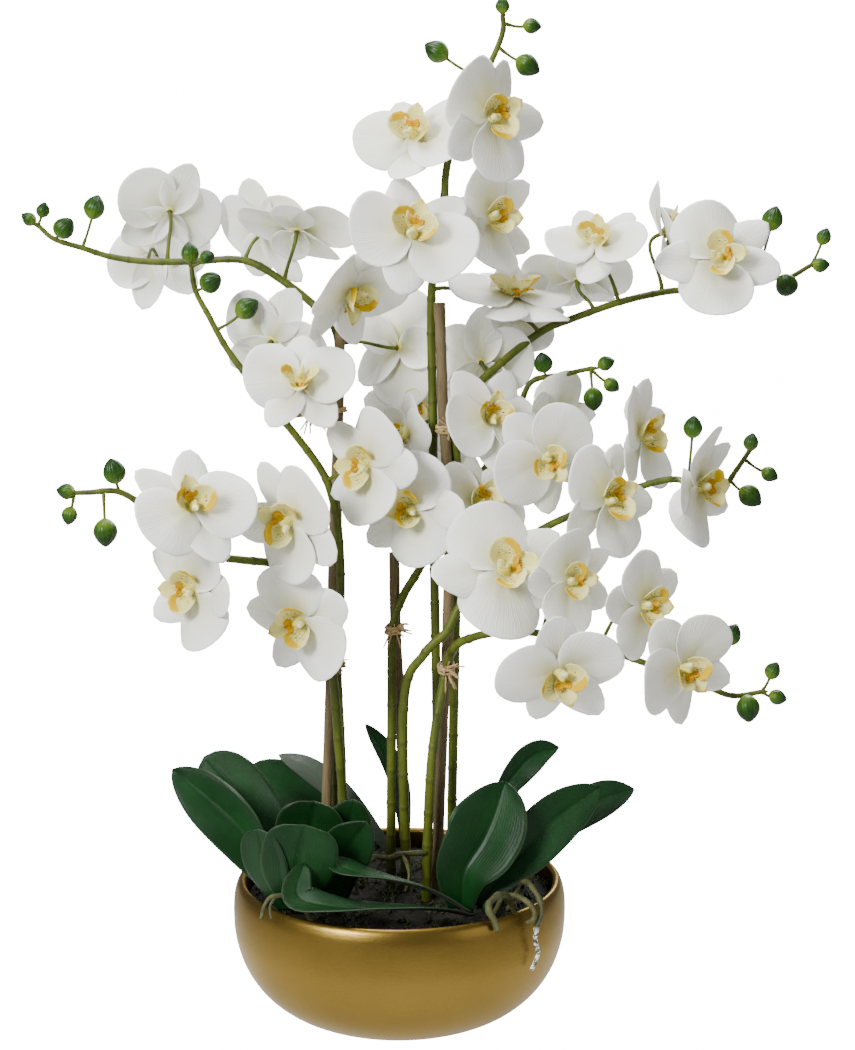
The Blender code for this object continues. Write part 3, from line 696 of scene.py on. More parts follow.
def stem_material():
    s = bpy.context.scene.orchid
    mat, n, shader = new_material("Stem Green")
    at = object_coords(n)
    patch = n.group(mottle(), Vector=n.scaled(at, (1, 1, 0.25)), Light=(0.098, 0.125, 0.008),
                    Dark=tuple(c * 0.6 for c in s.stem_colour), Patch=90.0, Grain=900.0)
    ring = n.add("ShaderNodeAttribute", attribute_name="ring")
    colour = n.mix(n.times(ring.outputs["Fac"], 0.45), patch.outputs["Color"],
                   (0.034, 0.026, 0.006))
    n.join(colour, shader.inputs["Base Color"])
    shader.inputs["Specular IOR Level"].default_value = 0.25
    n.join(n.plus(0.38, n.times(patch.outputs["Mask"], 0.2)),
           shader.inputs["Roughness"])
    add_bump(n, shader, patch.outputs["Height"], 0.0004, 0.5)
    return mat


def bud_material():
    mat, n, shader = new_material("Bud Green")
    uv = pattern_uv(n)
    parts = n.parts(uv)
    soft = n.noise(object_coords(n), 160.0, 3.0)
    reach = n.plus(parts.outputs["X"], n.times(n.minus(soft, 0.5), 0.5))
    colour = n.ramp(reach, [(0.0, (0.16, 0.24, 0.020)), (0.38, (0.028, 0.085, 0.003)),
                            (0.75, (0.004, 0.028, 0.002)), (1.0, (0.005, 0.020, 0.002))])
    rib = n.math("ABSOLUTE", n.math("SINE", n.times(parts.outputs["Y"], 14 * math.pi)))
    colour = n.mix(n.times(rib, 0.2), colour, (0.04, 0.10, 0.006))
    n.join(colour, shader.inputs["Base Color"])
    set_shader(shader, Specular_IOR_Level=0.22, Roughness=0.36, Subsurface_Weight=0.15,
               Subsurface_Radius=(0.6, 1.0, 0.3), Subsurface_Scale=0.003)
    add_bump(n, shader, n.plus(rib, soft), 0.0004, 0.6)
    return mat


def leaf_material():
    s = bpy.context.scene.orchid
    mat, n, shader = new_material("Leaf Green")
    uv = pattern_uv(n)
    at = object_coords(n)
    parts = n.parts(uv)
    vein = n.group(veins(), UV=uv, Count=26.0, Wander=0.012, Width=0.6)
    patch = n.group(mottle(), Vector=at, Light=(0.005, 0.046, 0.008),
                    Dark=tuple(s.leaf_colour), Patch=26.0, Grain=700.0)
    colour = n.mix(n.times(vein.outputs["Mask"], 0.25), patch.outputs["Color"],
                   (0.010, 0.056, 0.012))
    middle = n.math("ABSOLUTE", n.minus(parts.outputs["Y"], 0.5))
    edge = n.rise(middle, 0.475, 40.0)
    # Painted shade: darker towards both edges, so the middle reads as a painted sheen.
    painted_edge_shade = n.rise(middle, 0.18, 2.4)
    colour = n.mix(n.times(painted_edge_shade, 0.75), colour, (0.003, 0.016, 0.004))
    colour = n.mix(n.times(edge, 0.5), colour, (0.045, 0.075, 0.028))
    colour = n.mix(n.times(n.tint().outputs["Red"], 0.7), colour, (0.065, 0.075, 0.060))
    n.join(colour, shader.inputs["Base Color"])
    n.join(n.plus(0.33, n.times(patch.outputs["Mask"], 0.12)),
           shader.inputs["Roughness"])
    shader.inputs["Specular IOR Level"].default_value = 0.2
    add_bump(n, shader, vein.outputs["Height"], 0.0004, 0.4)
    return mat


def wood_material():
    mat, n, shader = new_material("Stake Wood")
    at = object_coords(n)
    patch = n.group(mottle(), Vector=n.scaled(at, (1, 1, 0.12)), Light=(0.175, 0.125, 0.050),
                    Dark=(0.080, 0.058, 0.023), Patch=140.0, Grain=900.0)
    split = n.noise(n.scaled(at, (1, 1, 0.04)), 1500.0, 2.0)
    colour = n.mix(n.rise(split, 0.5, 2.0),
                   patch.outputs["Color"], (0.040, 0.029, 0.012))
    n.join(colour, shader.inputs["Base Color"])
    shader.inputs["Roughness"].default_value = 0.72
    add_bump(n, shader, n.plus(split, patch.outputs["Height"]), 0.0007, 0.8)
    return mat


def root_material():
    mat, n, shader = new_material("Root")
    at = object_coords(n)
    patch = n.group(mottle(), Vector=at, Light=(0.085, 0.090, 0.022), Dark=(0.022, 0.026, 0.007),
                    Patch=170.0, Grain=1300.0)
    ash = n.noise(at, 330.0, 4.0, 0.7)
    ash = n.times(n.rise(ash, 0.47, 14.0), n.tint().outputs["Red"])
    n.join(n.mix(ash, patch.outputs["Color"], (0.85, 0.85, 0.82)), shader.inputs["Base Color"])
    shader.inputs["Roughness"].default_value = 0.7
    add_bump(n, shader, patch.outputs["Height"], 0.0006, 0.8)
    return mat


def soil_material():
    mat, n, shader = new_material("Soil")
    at = object_coords(n)
    patch = n.group(mottle(), Vector=at, Light=(0.012, 0.011, 0.006), Dark=(0.003, 0.003, 0.002),
                    Patch=70.0, Grain=900.0)
    green = n.noise(at, 150.0, 4.0, 0.65)
    green = n.rise(green, 0.56, 8.0)
    n.join(n.mix(n.times(green, 0.6), patch.outputs["Color"], (0.020, 0.026, 0.006)),
           shader.inputs["Base Color"])
    set_shader(shader, Specular_IOR_Level=0.15, Roughness=0.85)
    add_bump(n, shader, n.plus(patch.outputs["Height"], green), 0.0012, 0.9)
    return mat


def plain_material(name, light, dark, patch, grain, rough, depth):
    """A mottled matt material with a fine grain."""
    mat, n, shader = new_material(name)
    spots = n.group(mottle(), Vector=object_coords(n), Light=light, Dark=dark, Patch=patch,
                    Grain=grain)
    n.join(spots.outputs["Color"], shader.inputs["Base Color"])
    shader.inputs["Roughness"].default_value = rough
    add_bump(n, shader, spots.outputs["Height"], depth, 0.8)
    return mat


def raffia_material():
    return plain_material("Raffia", (0.50, 0.35, 0.16), (0.25, 0.16, 0.065), 300.0, 2400.0,
                          0.65, 0.0003)


def moss_material():
    return plain_material("Moss", (0.040, 0.052, 0.008), (0.006, 0.010, 0.003), 60.0, 1200.0,
                          0.8, 0.0006)


def gold_material():
    s = bpy.context.scene.orchid
    mat, n, shader = new_material("Gold Paint")
    at = object_coords(n)
    deep = tuple(c * 0.86 for c in s.gold_colour)
    patch = n.group(mottle(), Vector=at, Light=tuple(s.gold_colour), Dark=deep,
                    Patch=18.0, Grain=2600.0)
    brushed = n.noise(n.scaled(at, (1, 1, 14)), 70.0, 3.0)
    n.join(patch.outputs["Color"], shader.inputs["Base Color"])
    set_shader(shader, Metallic=1.0, Specular_Tint=(0.93, 0.87, 0.74, 1.0))
    rough = n.plus(0.27, n.times(patch.outputs["Mask"], 0.07))
    n.join(n.plus(rough, n.times(brushed, 0.06)), shader.inputs["Roughness"])
    peel = n.noise(at, 520.0, 2.0)
    flake = n.noise(at, 5200.0, 1.0)
    height = n.plus(peel, n.times(flake, 0.25))
    add_bump(n, shader, n.plus(height, n.times(brushed, 0.6)), 0.00025, 0.35)
    return mat


def floor_material():
    mat, n, shader = new_material("Pale Floor")
    at = object_coords(n)
    tone = n.ramp(n.noise(at, 3.0, 2.0), [(0.0, (0.36, 0.36, 0.36)), (1.0, (0.40, 0.40, 0.40))])
    n.join(tone, shader.inputs["Base Color"])
    set_shader(shader, Roughness=0.9, Emission_Color=(1.0, 1.0, 1.0, 1.0))
    seen = n.add("ShaderNodeLightPath").outputs["Is Camera Ray"]
    far = n.add("ShaderNodeVectorMath", {0: at}, operation="LENGTH")
    near = n.times(n.minus(FLOOR_GLOW_REACH, far.outputs["Value"]), 7.0, clamp=True)
    glow = n.times(near, FLOOR_GLOW)
    n.join(n.plus(glow, n.times(seen, PAPER_WHITE)), shader.inputs["Emission Strength"])
    return mat


def material(name):
    makers = {
        "Petal Cloth": petal_material, "Flower Lip": lip_material, "Stem Green": stem_material,
        "Bud Green": bud_material, "Leaf Green": leaf_material, "Stake Wood": wood_material,
        "Raffia": raffia_material, "Root": root_material, "Soil": soil_material,
        "Moss": moss_material, "Gold Paint": gold_material, "Pale Floor": floor_material,
    }
    return cached(name, makers[name])


# ------------------------------------------------------------------ geometry node helpers
GEOMETRY_IN = ("Geometry", "NodeSocketGeometry", None)      # its first two also name the output


def dress(n, instances, gin, gout):
    """End a tree: realize its instances and set the Material input on them."""
    real = n.add("GeometryNodeRealizeInstances", {0: instances})
    node = n.add("GeometryNodeSetMaterial",
                 {"Geometry": real.outputs[0], "Material": gin.outputs["Material"]})
    n.join(node.outputs[0], gout.inputs[0])


def run_group(obj, tree, values):
    """Run a geometry tree on an object, keep the plain mesh it gives, and drop the modifier."""
    mod = obj.modifiers.new(tree.name, "NODES")
    mod.node_group = tree
    for item in tree.interface.items_tree:
        if item.in_out == "INPUT" and item.name in values:
            mod[item.identifier] = values[item.name]
    bpy.context.view_layer.update()
    graph = bpy.context.evaluated_depsgraph_get()
    mesh = bpy.data.meshes.new_from_object(obj.evaluated_get(graph))
    obj.modifiers.clear()
    old = obj.data
    obj.data = mesh
    mesh.name = obj.name
    bpy.data.meshes.remove(old)
    return obj


def stem_tree():
    """Stems along drawn lines: rings at a spacing, small bracts at the rings."""
    tree, n, gin, gout = node_group(
        "GeometryNodeTree", "Ringed Stems",
        [GEOMETRY_IN, ("Ring Spacing", "NodeSocketFloat", 0.027),
         ("Ring Height", "NodeSocketFloat", 0.16), ("Bract Size", "NodeSocketFloat", 0.0026),
         ("Material", "NodeSocketMaterial", None)],
        [GEOMETRY_IN[:2]])
    lines = n.add("GeometryNodeMeshToCurve", {"Mesh": gin.outputs["Geometry"]}).outputs[0]
    fine = n.add("GeometryNodeResampleCurve", {"Curve": lines, "Length": 0.0016}, mode="LENGTH")
    girth = n.add("GeometryNodeInputNamedAttribute", {"Name": "girth"}, data_type="FLOAT")
    girth = girth.outputs["Attribute"]
    place = n.add("GeometryNodeSplineParameter")
    turn = n.math("DIVIDE", place.outputs["Length"], gin.outputs["Ring Spacing"])
    from_ring = n.math("ABSOLUTE", n.minus(n.math("FRACT", turn), 0.5))
    ring = n.minus(1.0, n.times(from_ring, 14.0), clamp=True)
    ring = n.times(ring, n.math("GREATER_THAN", girth, RINGED_GIRTH))
    swell = n.plus(1.0, n.times(ring, gin.outputs["Ring Height"]))
    keep = n.add("GeometryNodeStoreNamedAttribute",
                 {"Name": "ring", "Geometry": fine.outputs[0], "Value": ring},
                 data_type="FLOAT", domain="POINT")
    sized = n.add("GeometryNodeSetCurveRadius",
                  {"Curve": keep.outputs[0], "Radius": n.times(girth, swell)})
    outline = n.add("GeometryNodeCurvePrimitiveCircle", {"Resolution": 12, "Radius": 1.0})
    radius = n.add("GeometryNodeInputRadius")
    solid = n.add("GeometryNodeCurveToMesh",
                  {"Fill Caps": True, "Curve": sized.outputs[0],
                   "Profile Curve": outline.outputs[0], "Scale": radius.outputs[0]})
    stops = n.add("GeometryNodeResampleCurve",
                  {"Curve": lines, "Length": gin.outputs["Ring Spacing"]}, mode="LENGTH")
    bract = n.add("GeometryNodeMeshCone", {"Vertices": 7, "Radius Top": 0.25,
                                           "Radius Bottom": 1.15, "Depth": 2.4})
    tangent = n.add("GeometryNodeInputTangent")
    align = n.add("FunctionNodeAlignRotationToVector", {"Vector": tangent.outputs[0]}, axis="Z")
    on = n.add("GeometryNodeInstanceOnPoints",
               {"Points": stops.outputs[0], "Instance": bract.outputs["Mesh"],
                "Rotation": align.outputs[0], "Scale": gin.outputs["Bract Size"],
                "Selection": n.math("GREATER_THAN", girth, RINGED_GIRTH)})
    both = n.add("GeometryNodeJoinGeometry")
    n.join(solid.outputs[0], both.inputs[0])
    n.join(on.outputs[0], both.inputs[0])
    dress(n, both.outputs[0], gin, gout)
    return tree


def moss_tree():
    """Tufts and chips scattered over the top of the soil."""
    tree, n, gin, gout = node_group(
        "GeometryNodeTree", "Moss Scatter",
        [GEOMETRY_IN, ("Density", "NodeSocketFloat", 9000.0), ("Size", "NodeSocketFloat", 0.003),
         ("Seed", "NodeSocketInt", 7), ("Chip", "NodeSocketObject", None),
         ("Material", "NodeSocketMaterial", None)],
        [GEOMETRY_IN[:2]])
    facing = n.parts(n.add("GeometryNodeInputNormal").outputs[0])
    scatter = n.add("GeometryNodeDistributePointsOnFaces",
                    {"Mesh": gin.outputs["Geometry"], "Density": gin.outputs["Density"],
                     "Selection": n.math("GREATER_THAN", facing.outputs["Z"], 0.5),
                     "Seed": gin.outputs["Seed"]})
    chip = n.add("GeometryNodeObjectInfo", {"Object": gin.outputs["Chip"]})
    spin = n.add("FunctionNodeRandomValue", {"Max": (1.2, 1.2, 6.28), "Seed": gin.outputs["Seed"]},
                 data_type="FLOAT_VECTOR")
    size = n.add("FunctionNodeRandomValue", {2: 0.5, 3: 1.5, "Seed": gin.outputs["Seed"]},
                 data_type="FLOAT")
    on = n.add("GeometryNodeInstanceOnPoints",
               {"Points": scatter.outputs["Points"], "Instance": chip.outputs["Geometry"],
                "Rotation": spin.outputs[0],
                "Scale": n.times(size.outputs[1], gin.outputs["Size"])})
    dress(n, on.outputs[0], gin, gout)
    return tree


# ------------------------------------------------------------------ flower shapes
def fan(length, width, rows, cols, spread, start, tip=0.0):
    """A rounded petal outline filled as a fan from its base: points and its U, V."""
    a, b = length / 2, width / 2
    v = np.linspace(-1, 1, cols)
    u = start + (1 - start) * np.linspace(0, 1, rows) ** 0.85
    angle = v * math.radians(spread)
    ellipse = b * b * np.cos(angle) ** 2 + a * a * np.sin(angle) ** 2
    reach = 2 * a * b * b * np.cos(angle) / ellipse
    reach *= 1 + tip * np.exp(-(v / 0.16) ** 2)
    x = u[:, None] * (reach * np.cos(angle))[None, :]
    y = u[:, None] * (reach * np.sin(angle))[None, :]
    across = (v * 0.5 + 0.5)[None, :]
    uv = np.stack([np.repeat(u[:, None], cols, 1), np.repeat(across, rows, 0)], 2)
    return x, y, uv


def petal(length, width, angle, rng, cup, lift, curl, crease, tip, spread=82):
    """One petal of a flower, lying in XY and pointing along an angle from +X."""
    x, y, uv = fan(length, width, 20, 21, spread, 0.06, tip)
    u, v = uv[..., 0], uv[..., 1] * 2 - 1
    far, wide = x / length, y / (width * 0.5)
    z = cup * far ** 2 - curl * wide ** 2 * u
    z -= crease * np.exp(-(v / 0.10) ** 2) * np.sin(np.pi * np.clip(u, 0, 1))
    phase = rng.uniform(0, 6.28)
    z += rng.uniform(1.3, 3.0) * np.sin(v * rng.uniform(3.2, 5.6) + phase) * u ** 2.5
    z += 0.75 * np.sin(v * 11 + phase * 2) * u ** 5
    z += rng.uniform(-0.16, 0.16) * y * u
    z += rng.uniform(-0.14, 0.14) * x * u
    z -= rng.uniform(0.0, 3.5) * np.clip(far - 0.55, 0, 1) ** 2 * 5
    z += lift
    a = math.radians(angle)
    turn_x = x * math.cos(a) - y * math.sin(a)
    turn_y = x * math.sin(a) + y * math.cos(a)
    return np.stack([turn_x, turn_y, z], 2), uv


def flower_petals(size, form, seed):
    """The three sepals and two broad petals of one flower, facing +Z, dorsal sepal at +Y."""
    s = bpy.context.scene.orchid
    rng = random.Random(seed)
    k = size / FLOWER_SIZE
    thick = s.petal_thickness / MM
    cup = 15 if form == "cupped" else rng.uniform(3, 8)
    shapes = [
        (51, 37, 90 + rng.uniform(-5, 5), cup * 0.6, -1.0, 5.0, 1.2, 0.06),
        (50, 34, -60 + rng.uniform(-6, 6), cup * 0.6, -1.2, 5.0, 1.2, 0.09),
        (50, 34, -120 + rng.uniform(-6, 6), cup * 0.6, -1.4, 5.0, 1.2, 0.09),
        (52, 62, 12 + rng.uniform(-6, 6), cup, 1.8, 6.0, 0.8, 0.0),
        (52, 62, 168 + rng.uniform(-6, 6), cup, 1.8, 6.0, 0.8, 0.0),
    ]
    parts = []
    for length, width, angle, cupped, lift, curl, crease, tip in shapes:
        length *= rng.uniform(0.96, 1.02)
        curl *= rng.uniform(0.1, 1.2)
        points, uv = petal(length * k, width * k, angle, rng, cupped * k, lift, curl * k, crease,
                           tip)
        parts.append(thick_grid(points, thick, uv, np.zeros_like(points)))
    return join_parts(parts)


def lobe(length, width, cup, way, up, base, rows=9, cols=11, spread=80, tip=0.0, tint=None):
    """A cupped lobe of the lip: a fan pointing along a way, its hollow side looking up."""
    x, y, uv = fan(length, width, rows, cols, spread, 0.08, tip)
    z = cup * ((y / (width * 0.5)) ** 2 + 0.5 * (x / length) ** 2)
    way = Vector(way).normalized()
    side = Vector(up).cross(way).normalized()
    lift = way.cross(side)
    points = (x[..., None] * np.array(way) + y[..., None] * np.array(side)
              + z[..., None] * np.array(lift) + np.array(base))
    u = uv[..., 0]
    shade = np.stack([tint(u, uv[..., 1])[k] * np.ones_like(u) for k in range(3)], 2)
    return thick_grid(points, 0.7, uv, shade)


def blob(centre, radii, tint, sides=14):
    """A small rounded swelling."""
    rings = 8
    profile = [(math.sin(math.pi * i / rings), -math.cos(math.pi * i / rings))
               for i in range(rings + 1)]
    part = turned(profile, sides, tint)
    part["v"] = part["v"] * np.array(radii) + np.array(centre) * MM
    return part


def flower_lip(size, seed):
    """The lip's two side lobes and middle lobe, its swellings and the column above it."""
    rng = random.Random(seed + 5)
    k = size / FLOWER_SIZE

    def side_tint(u, v):
        patch = np.exp(-(((u - 0.84) / 0.20) ** 2 + ((v - 0.30) / 0.20) ** 2))
        low = np.exp(-(((u - 0.46) / 0.20) ** 2 + ((v - 0.45) / 0.30) ** 2))
        return (np.clip(patch * 0.95, 0, 1), low, 0.9 - 0.7 * u)

    def middle_tint(u, v):
        heart = np.clip(1.25 - np.abs(u - 0.20) * 5.0, 0, 1)
        tip = 0.55 * np.exp(-(((u - 1.0) / 0.14) ** 2 + ((v - 0.5) / 0.1) ** 2))
        return (np.maximum(heart * 0.8, tip), 0.8 * (u > 0.28) * (u < 0.50), 0.9 - 0.6 * u)

    def callus_tint(u, v):
        return (0.75 + 0.25 * u, 0.35 + 0 * u, 0.2 + 0 * u)

    parts = []
    for hand in (-1, 1):
        open_out = rng.uniform(0.55, 1.05)
        way = (hand * open_out, rng.uniform(-0.10, 0.30), 0.80)
        parts.append(lobe(24, 23, 6.5, way, (-hand, 0.35, 0.5), (hand * 4.0, -3.5, 0.5),
                          tint=side_tint))
    parts.append(lobe(24, 18, 5.0, (rng.uniform(-0.15, 0.15), -0.72, 0.62), (0, 0.7, 0.7),
                      (0, -3.5, 1.0), tip=0.08, tint=middle_tint))
    for hand in (-1, 1):
        parts.append(lobe(9, 6, 1.5, (hand * 0.45, -0.25, 0.9), (0, 0.8, 0.5),
                          (hand * 1.4, -7.0, 5.0), 5, 7, tint=callus_tint))
        parts.append(lobe(10, 7, 1.8, (hand * 0.7, -0.9, 0.35), (0, 0.4, 0.9),
                          (hand * 1.0, -7.5, 6.0), 5, 7, tint=callus_tint))
    parts.append(blob((0.6, -9.0, 7.4), (2.6, 2.2, 2.6), (1.0, 0.35, 0.2)))
    horn = [(1.5, 4.0, 8.0), (2.5, 6.5, 13.0), (3.2, 9.5, 15.5)]
    parts.append(rod(smooth_route(horn, 4), HORN_RADII, 10, (0, 0, 0.1)))
    column = smooth_route([(0, -0.5, -1.0), (0, 1.2, 4.0), (0, 1.6, 8.0), (0, -0.6, 12.0)], 4)
    parts.append(rod(column, COLUMN_RADII, 14, (0.05, 0.5, 0.9)))
    whole = join_parts(parts)
    whole["v"] = whole["v"] * k
    return whole


def facing_matrix(azimuth, elevation, roll):
    """Rotation that turns +Z to the way a flower faces, its +Y kept upward, then rolled."""
    az, el = math.radians(azimuth), math.radians(elevation)
    face = Vector((math.sin(az) * math.cos(el), -math.cos(az) * math.cos(el), math.sin(el)))
    right = Vector((math.cos(az), math.sin(az), 0))
    up = face.cross(right)
    turn = Matrix((right, up, face)).transposed()
    return (turn @ Matrix.Rotation(math.radians(roll), 3, "Z")).to_4x4()


def leaf_part(points, width, look_base, look_tip, fold, blunt, seed):
    """A strap leaf along its midrib, folded like a shallow channel and pointed at the tip."""
    rng = random.Random(seed)
    route = smooth_route(points, max(4, 36 // (len(points) - 1)))
    rows, cols = len(route), 21
    grid = np.zeros((rows, cols, 3))
    uv = np.zeros((rows, cols, 2))
    sway = rng.uniform(0, 6.28)
    for i, place in enumerate(route):
        t = i / (rows - 1)
        ahead = route[min(i + 1, rows - 1)] - route[max(i - 1, 0)]
        look = Vector(look_base).lerp(Vector(look_tip), t ** 2.2)
        side = ahead.cross(look).normalized()
        up = side.cross(ahead).normalized()
        if t < 0.58:
            body = 0.34 + 0.66 * math.sin(math.pi / 2 * (t / 0.58)) ** 1.25
        else:
            body = max(1 - ((t - 0.58) / 0.42) ** (1.9 + blunt), 0.0) ** (0.8 - 0.3 * blunt)
        half = width * 0.5 * max(body, 0.03)
        for j in range(cols):
            v = -1 + 2 * j / (cols - 1)
            rise = half * fold * (math.sqrt(v * v + 0.02) - 0.14)
            rise -= 0.05 * half * math.exp(-(v / 0.07) ** 2)
            rise -= half * 0.16 * fold * v ** 4
            rise += 0.05 * half * math.sin(t * 8 + sway + v * 1.5) * v * v
            grid[i, j] = (place + side * half * v * (1 - 0.12 * fold) + up * rise)[:]
            uv[i, j] = (t, v * 0.5 + 0.5)
    part = thick_grid(grid, 1.2, uv, np.zeros_like(grid))
    part["tint"][:rows * cols, 0] = 1.0
    return part


# ------------------------------------------------------------------ operators
def add_piece(name, part, look, slot, *nodes):
    """Make one piece from a part, give it its body and hide the nodes it replaces; the slot is not
    used.
    """
    finish_piece(make_object(name, part, material(look)), slot, *nodes)


class OrchidOperator:
    """Options that every operator here shares"""

    bl_options = {"REGISTER", "UNDO"}


class OBJECT_OT_orchid_bowl(OrchidOperator, bpy.types.Operator):
    """Build the gold bowl"""

    bl_idname = "object.orchid_bowl"
    bl_label = "Gold Bowl"

    def execute(self, context):
        outer = [(p.x, p.z) for p in smooth_route([(r, 0, z) for r, z in BOWL_OUTER[2:]], 5)]
        inner = [(p.x, p.z) for p in smooth_route([(r, 0, z) for r, z in BOWL_INNER[:-1]], 5)]
        profile = [(0, 0), (30, 0), (60, 0)] + outer + inner + [(40, 11), (0, 11)]
        part = turned(profile, 144)
        add_piece("bowl_gold", part, "Gold Paint", "gold_bowl", "bowl")
        return {"FINISHED"}


class OBJECT_OT_orchid_soil(OrchidOperator, bpy.types.Operator):
    """Build the soil and scatter moss on it"""

    bl_idname = "object.orchid_soil"
    bl_label = "Soil and Moss"

    def execute(self, context):
        s = context.scene.orchid
        profile = [(0, 24.5), (90, 24.5), (110, 37), (122.6, 62), (125.4, 80), (122.6, 93)]
        profile += [(SOIL_RADIUS - 3.1 * k, 93.5 + 5.0 * (1 - (1 - k / 39) ** 3))
                    for k in range(1, 39)]
        profile += [(0, 99.5)]
        part = turned(profile, 120)
        moved = []
        for v in part["v"]:
            if v[2] > SOIL_LUMPS_ABOVE:
                edge = min(1.0, max(0.0, (0.1226 - math.hypot(v[0], v[1])) / 0.02))
                lump = noise.fractal(Vector(v) * 55, 1.0, 2.0, 4) * 0.0035
                fine = noise.fractal(Vector(v) * 240, 1.0, 2.0, 3) * 0.0013
                v = v + np.array((0, 0, (lump + fine) * edge))
            moved.append(v)
        part["v"] = np.array(moved)
        soil = make_object("soil_bed", part, material("Soil"))
        finish_piece(soil, "soil", "soil")
        chip = self.chip()
        moss = bpy.data.objects.new("moss_tufts", soil.data.copy())
        context.scene.collection.objects.link(moss)
        tree = moss_tree()
        density = s.moss_tufts / (math.pi * MOSS_RADIUS ** 2)
        run_group(moss, tree, {"Density": density, "Size": 1.0, "Seed": 7, "Chip": chip,
                               "Material": material("Moss")})
        bpy.data.objects.remove(chip, do_unlink=True)
        finish_piece(moss, "soil")
        return {"FINISHED"}

    def chip(self):
        """A small ragged tuft of curved blades."""
        rng = random.Random(3)
        parts = []
        for k in range(MOSS_BLADES):
            a = 2 * math.pi * k / MOSS_BLADES + rng.uniform(-0.3, 0.3)
            out = Vector((math.cos(a), math.sin(a), 0))
            tall = rng.uniform(2.0, 4.5)
            line = [out * 0.2, out * 1.2 + Vector((0, 0, tall * 0.6)),
                    out * 3.0 + Vector((0, 0, tall))]
            parts.append(rod(line, [0.7, 0.55, 0.15], 5))
        return make_object("moss_chip", join_parts(parts), material("Moss"))


class OBJECT_OT_orchid_stems(OrchidOperator, bpy.types.Operator):
    """Build the flower stems with their stalks, rings and bracts"""

    bl_idname = "object.orchid_stems"
    bl_label = "Stems"

    def execute(self, context):
        s = context.scene.orchid
        tree = stem_tree()
        for letter, points in SPIKES.items():
            lines = [self.main_line(points)]
            lines += self.flower_stalks(letter, points)
            lines += self.bud_stalks(letter, points)
            mesh = bpy.data.meshes.new("stem")
            verts, edges, girth = [], [], []
            for line, radii in lines:
                start = len(verts)
                verts += [tuple(p * MM) for p in line]
                edges += [(start + i, start + i + 1) for i in range(len(line) - 1)]
                girth += [r * MM for r in radii]
            mesh.from_pydata(verts, edges, [])
            layer = mesh.attributes.new("girth", "FLOAT", "POINT")
            layer.data.foreach_set("value", girth)
            obj = bpy.data.objects.new("stem_" + letter, mesh)
            context.scene.collection.objects.link(obj)
            run_group(obj, tree, {"Ring Spacing": s.ring_spacing, "Ring Height": 0.16,
                                  "Bract Size": 0.0021, "Material": material("Stem Green")})
            obj.data.shade_smooth()
            finish_piece(obj, "stem_green", "spike_" + letter)
        return {"FINISHED"}

    def main_line(self, points):
        """A stem's own line, and its radius at each point."""
        route = smooth_route(points, 8)
        count = len(route)
        return route, [STEM_R0 + (STEM_R1 - STEM_R0) * (i / (count - 1)) ** 1.5
                       for i in range(count)]

    def flower_stalks(self, letter, points):
        """A curved stalk from the stem to the back of each of its flowers."""
        route = smooth_route(points, 2)
        lines = []
        for _, spike, x, y, z, az, el, *_ in FLOWERS + INNER_FLOWERS:
            if spike != letter:
                continue
            face = facing_matrix(az, el, 0) @ Vector((0, 0, 1))
            back = Vector((x, y, z)) - face * 2.2
            near = min(route, key=lambda p: (p - (back - face * 14)).length)
            way = (back - near).normalized() + Vector((0, 0, 0.35))
            reach = (back - near).length * 0.45
            b = near + way.normalized() * reach
            c = back - face * reach
            line = []
            for k in range(STALK_STEPS + 1):
                t = k / STALK_STEPS
                line.append((1 - t) ** 3 * near + 3 * (1 - t) ** 2 * t * b
                            + 3 * (1 - t) * t * t * c + t ** 3 * back)
            lines.append((line, STALK_RADII))
        return lines

    def bud_stalks(self, letter, points):
        """A short stalk to each bud that stands off the stem."""
        route = smooth_route(points, 2)
        lines = []
        for x, y, z, size in BUDS[letter]:
            centre = Vector((x, y, z))
            near = min(route, key=lambda p: (p - centre).length)
            if (centre - near).length > size * 1.1:
                bend = near.lerp(centre, 0.5) + Vector((0, 0, -1.5))
                line = smooth_route([near, bend, centre], 5)
                lines.append((line, [1.5] * 3 + [1.15] * (len(line) - 3)))
        return lines


class OBJECT_OT_orchid_buds(OrchidOperator, bpy.types.Operator):
    """Build the green buds at the stem tips"""

    bl_idname = "object.orchid_buds"
    bl_label = "Buds"

    def execute(self, context):
        for letter, buds in BUDS.items():
            route = smooth_route(SPIKES[letter], 2)
            parts = []
            for k, (x, y, z, size) in enumerate(buds):
                centre = Vector((x, y, z))
                near = min(range(len(route)), key=lambda i: (route[i] - centre).length)
                way = centre - route[near]
                if way.length < size * 0.6:
                    way = route[near] - route[near - 1]
                parts.append(self.bud(centre, way.normalized(), size, k))
            add_piece("buds_" + letter, join_parts(parts), "Bud Green", "stem_green")
        return {"FINISHED"}

    def bud(self, centre, way, size, seed):
        """A plump bud with a blunt point, its three sepals showing as soft ridges."""
        profile = [(0, -1.18)]
        for i in range(1, 20):
            t = i / 20
            r = math.sin(math.pi * t ** 0.86) ** 0.72
            z = -1.18 + 2.5 * t
            profile.append((r * (1.0 if t < 0.8 else 1.0 - (t - 0.8) * 0.6), z))
        profile.append((0, 1.30))
        part = turned([(r * size, z * size) for r, z in profile], 24, (0, 0, 0), 0.045, 3)
        turn = way.to_track_quat("Z", "Y").to_matrix().to_4x4()
        turn = turn @ Matrix.Rotation(seed * 1.3, 4, "Z")
        return placed(part, Matrix.Translation(centre * MM) @ turn)


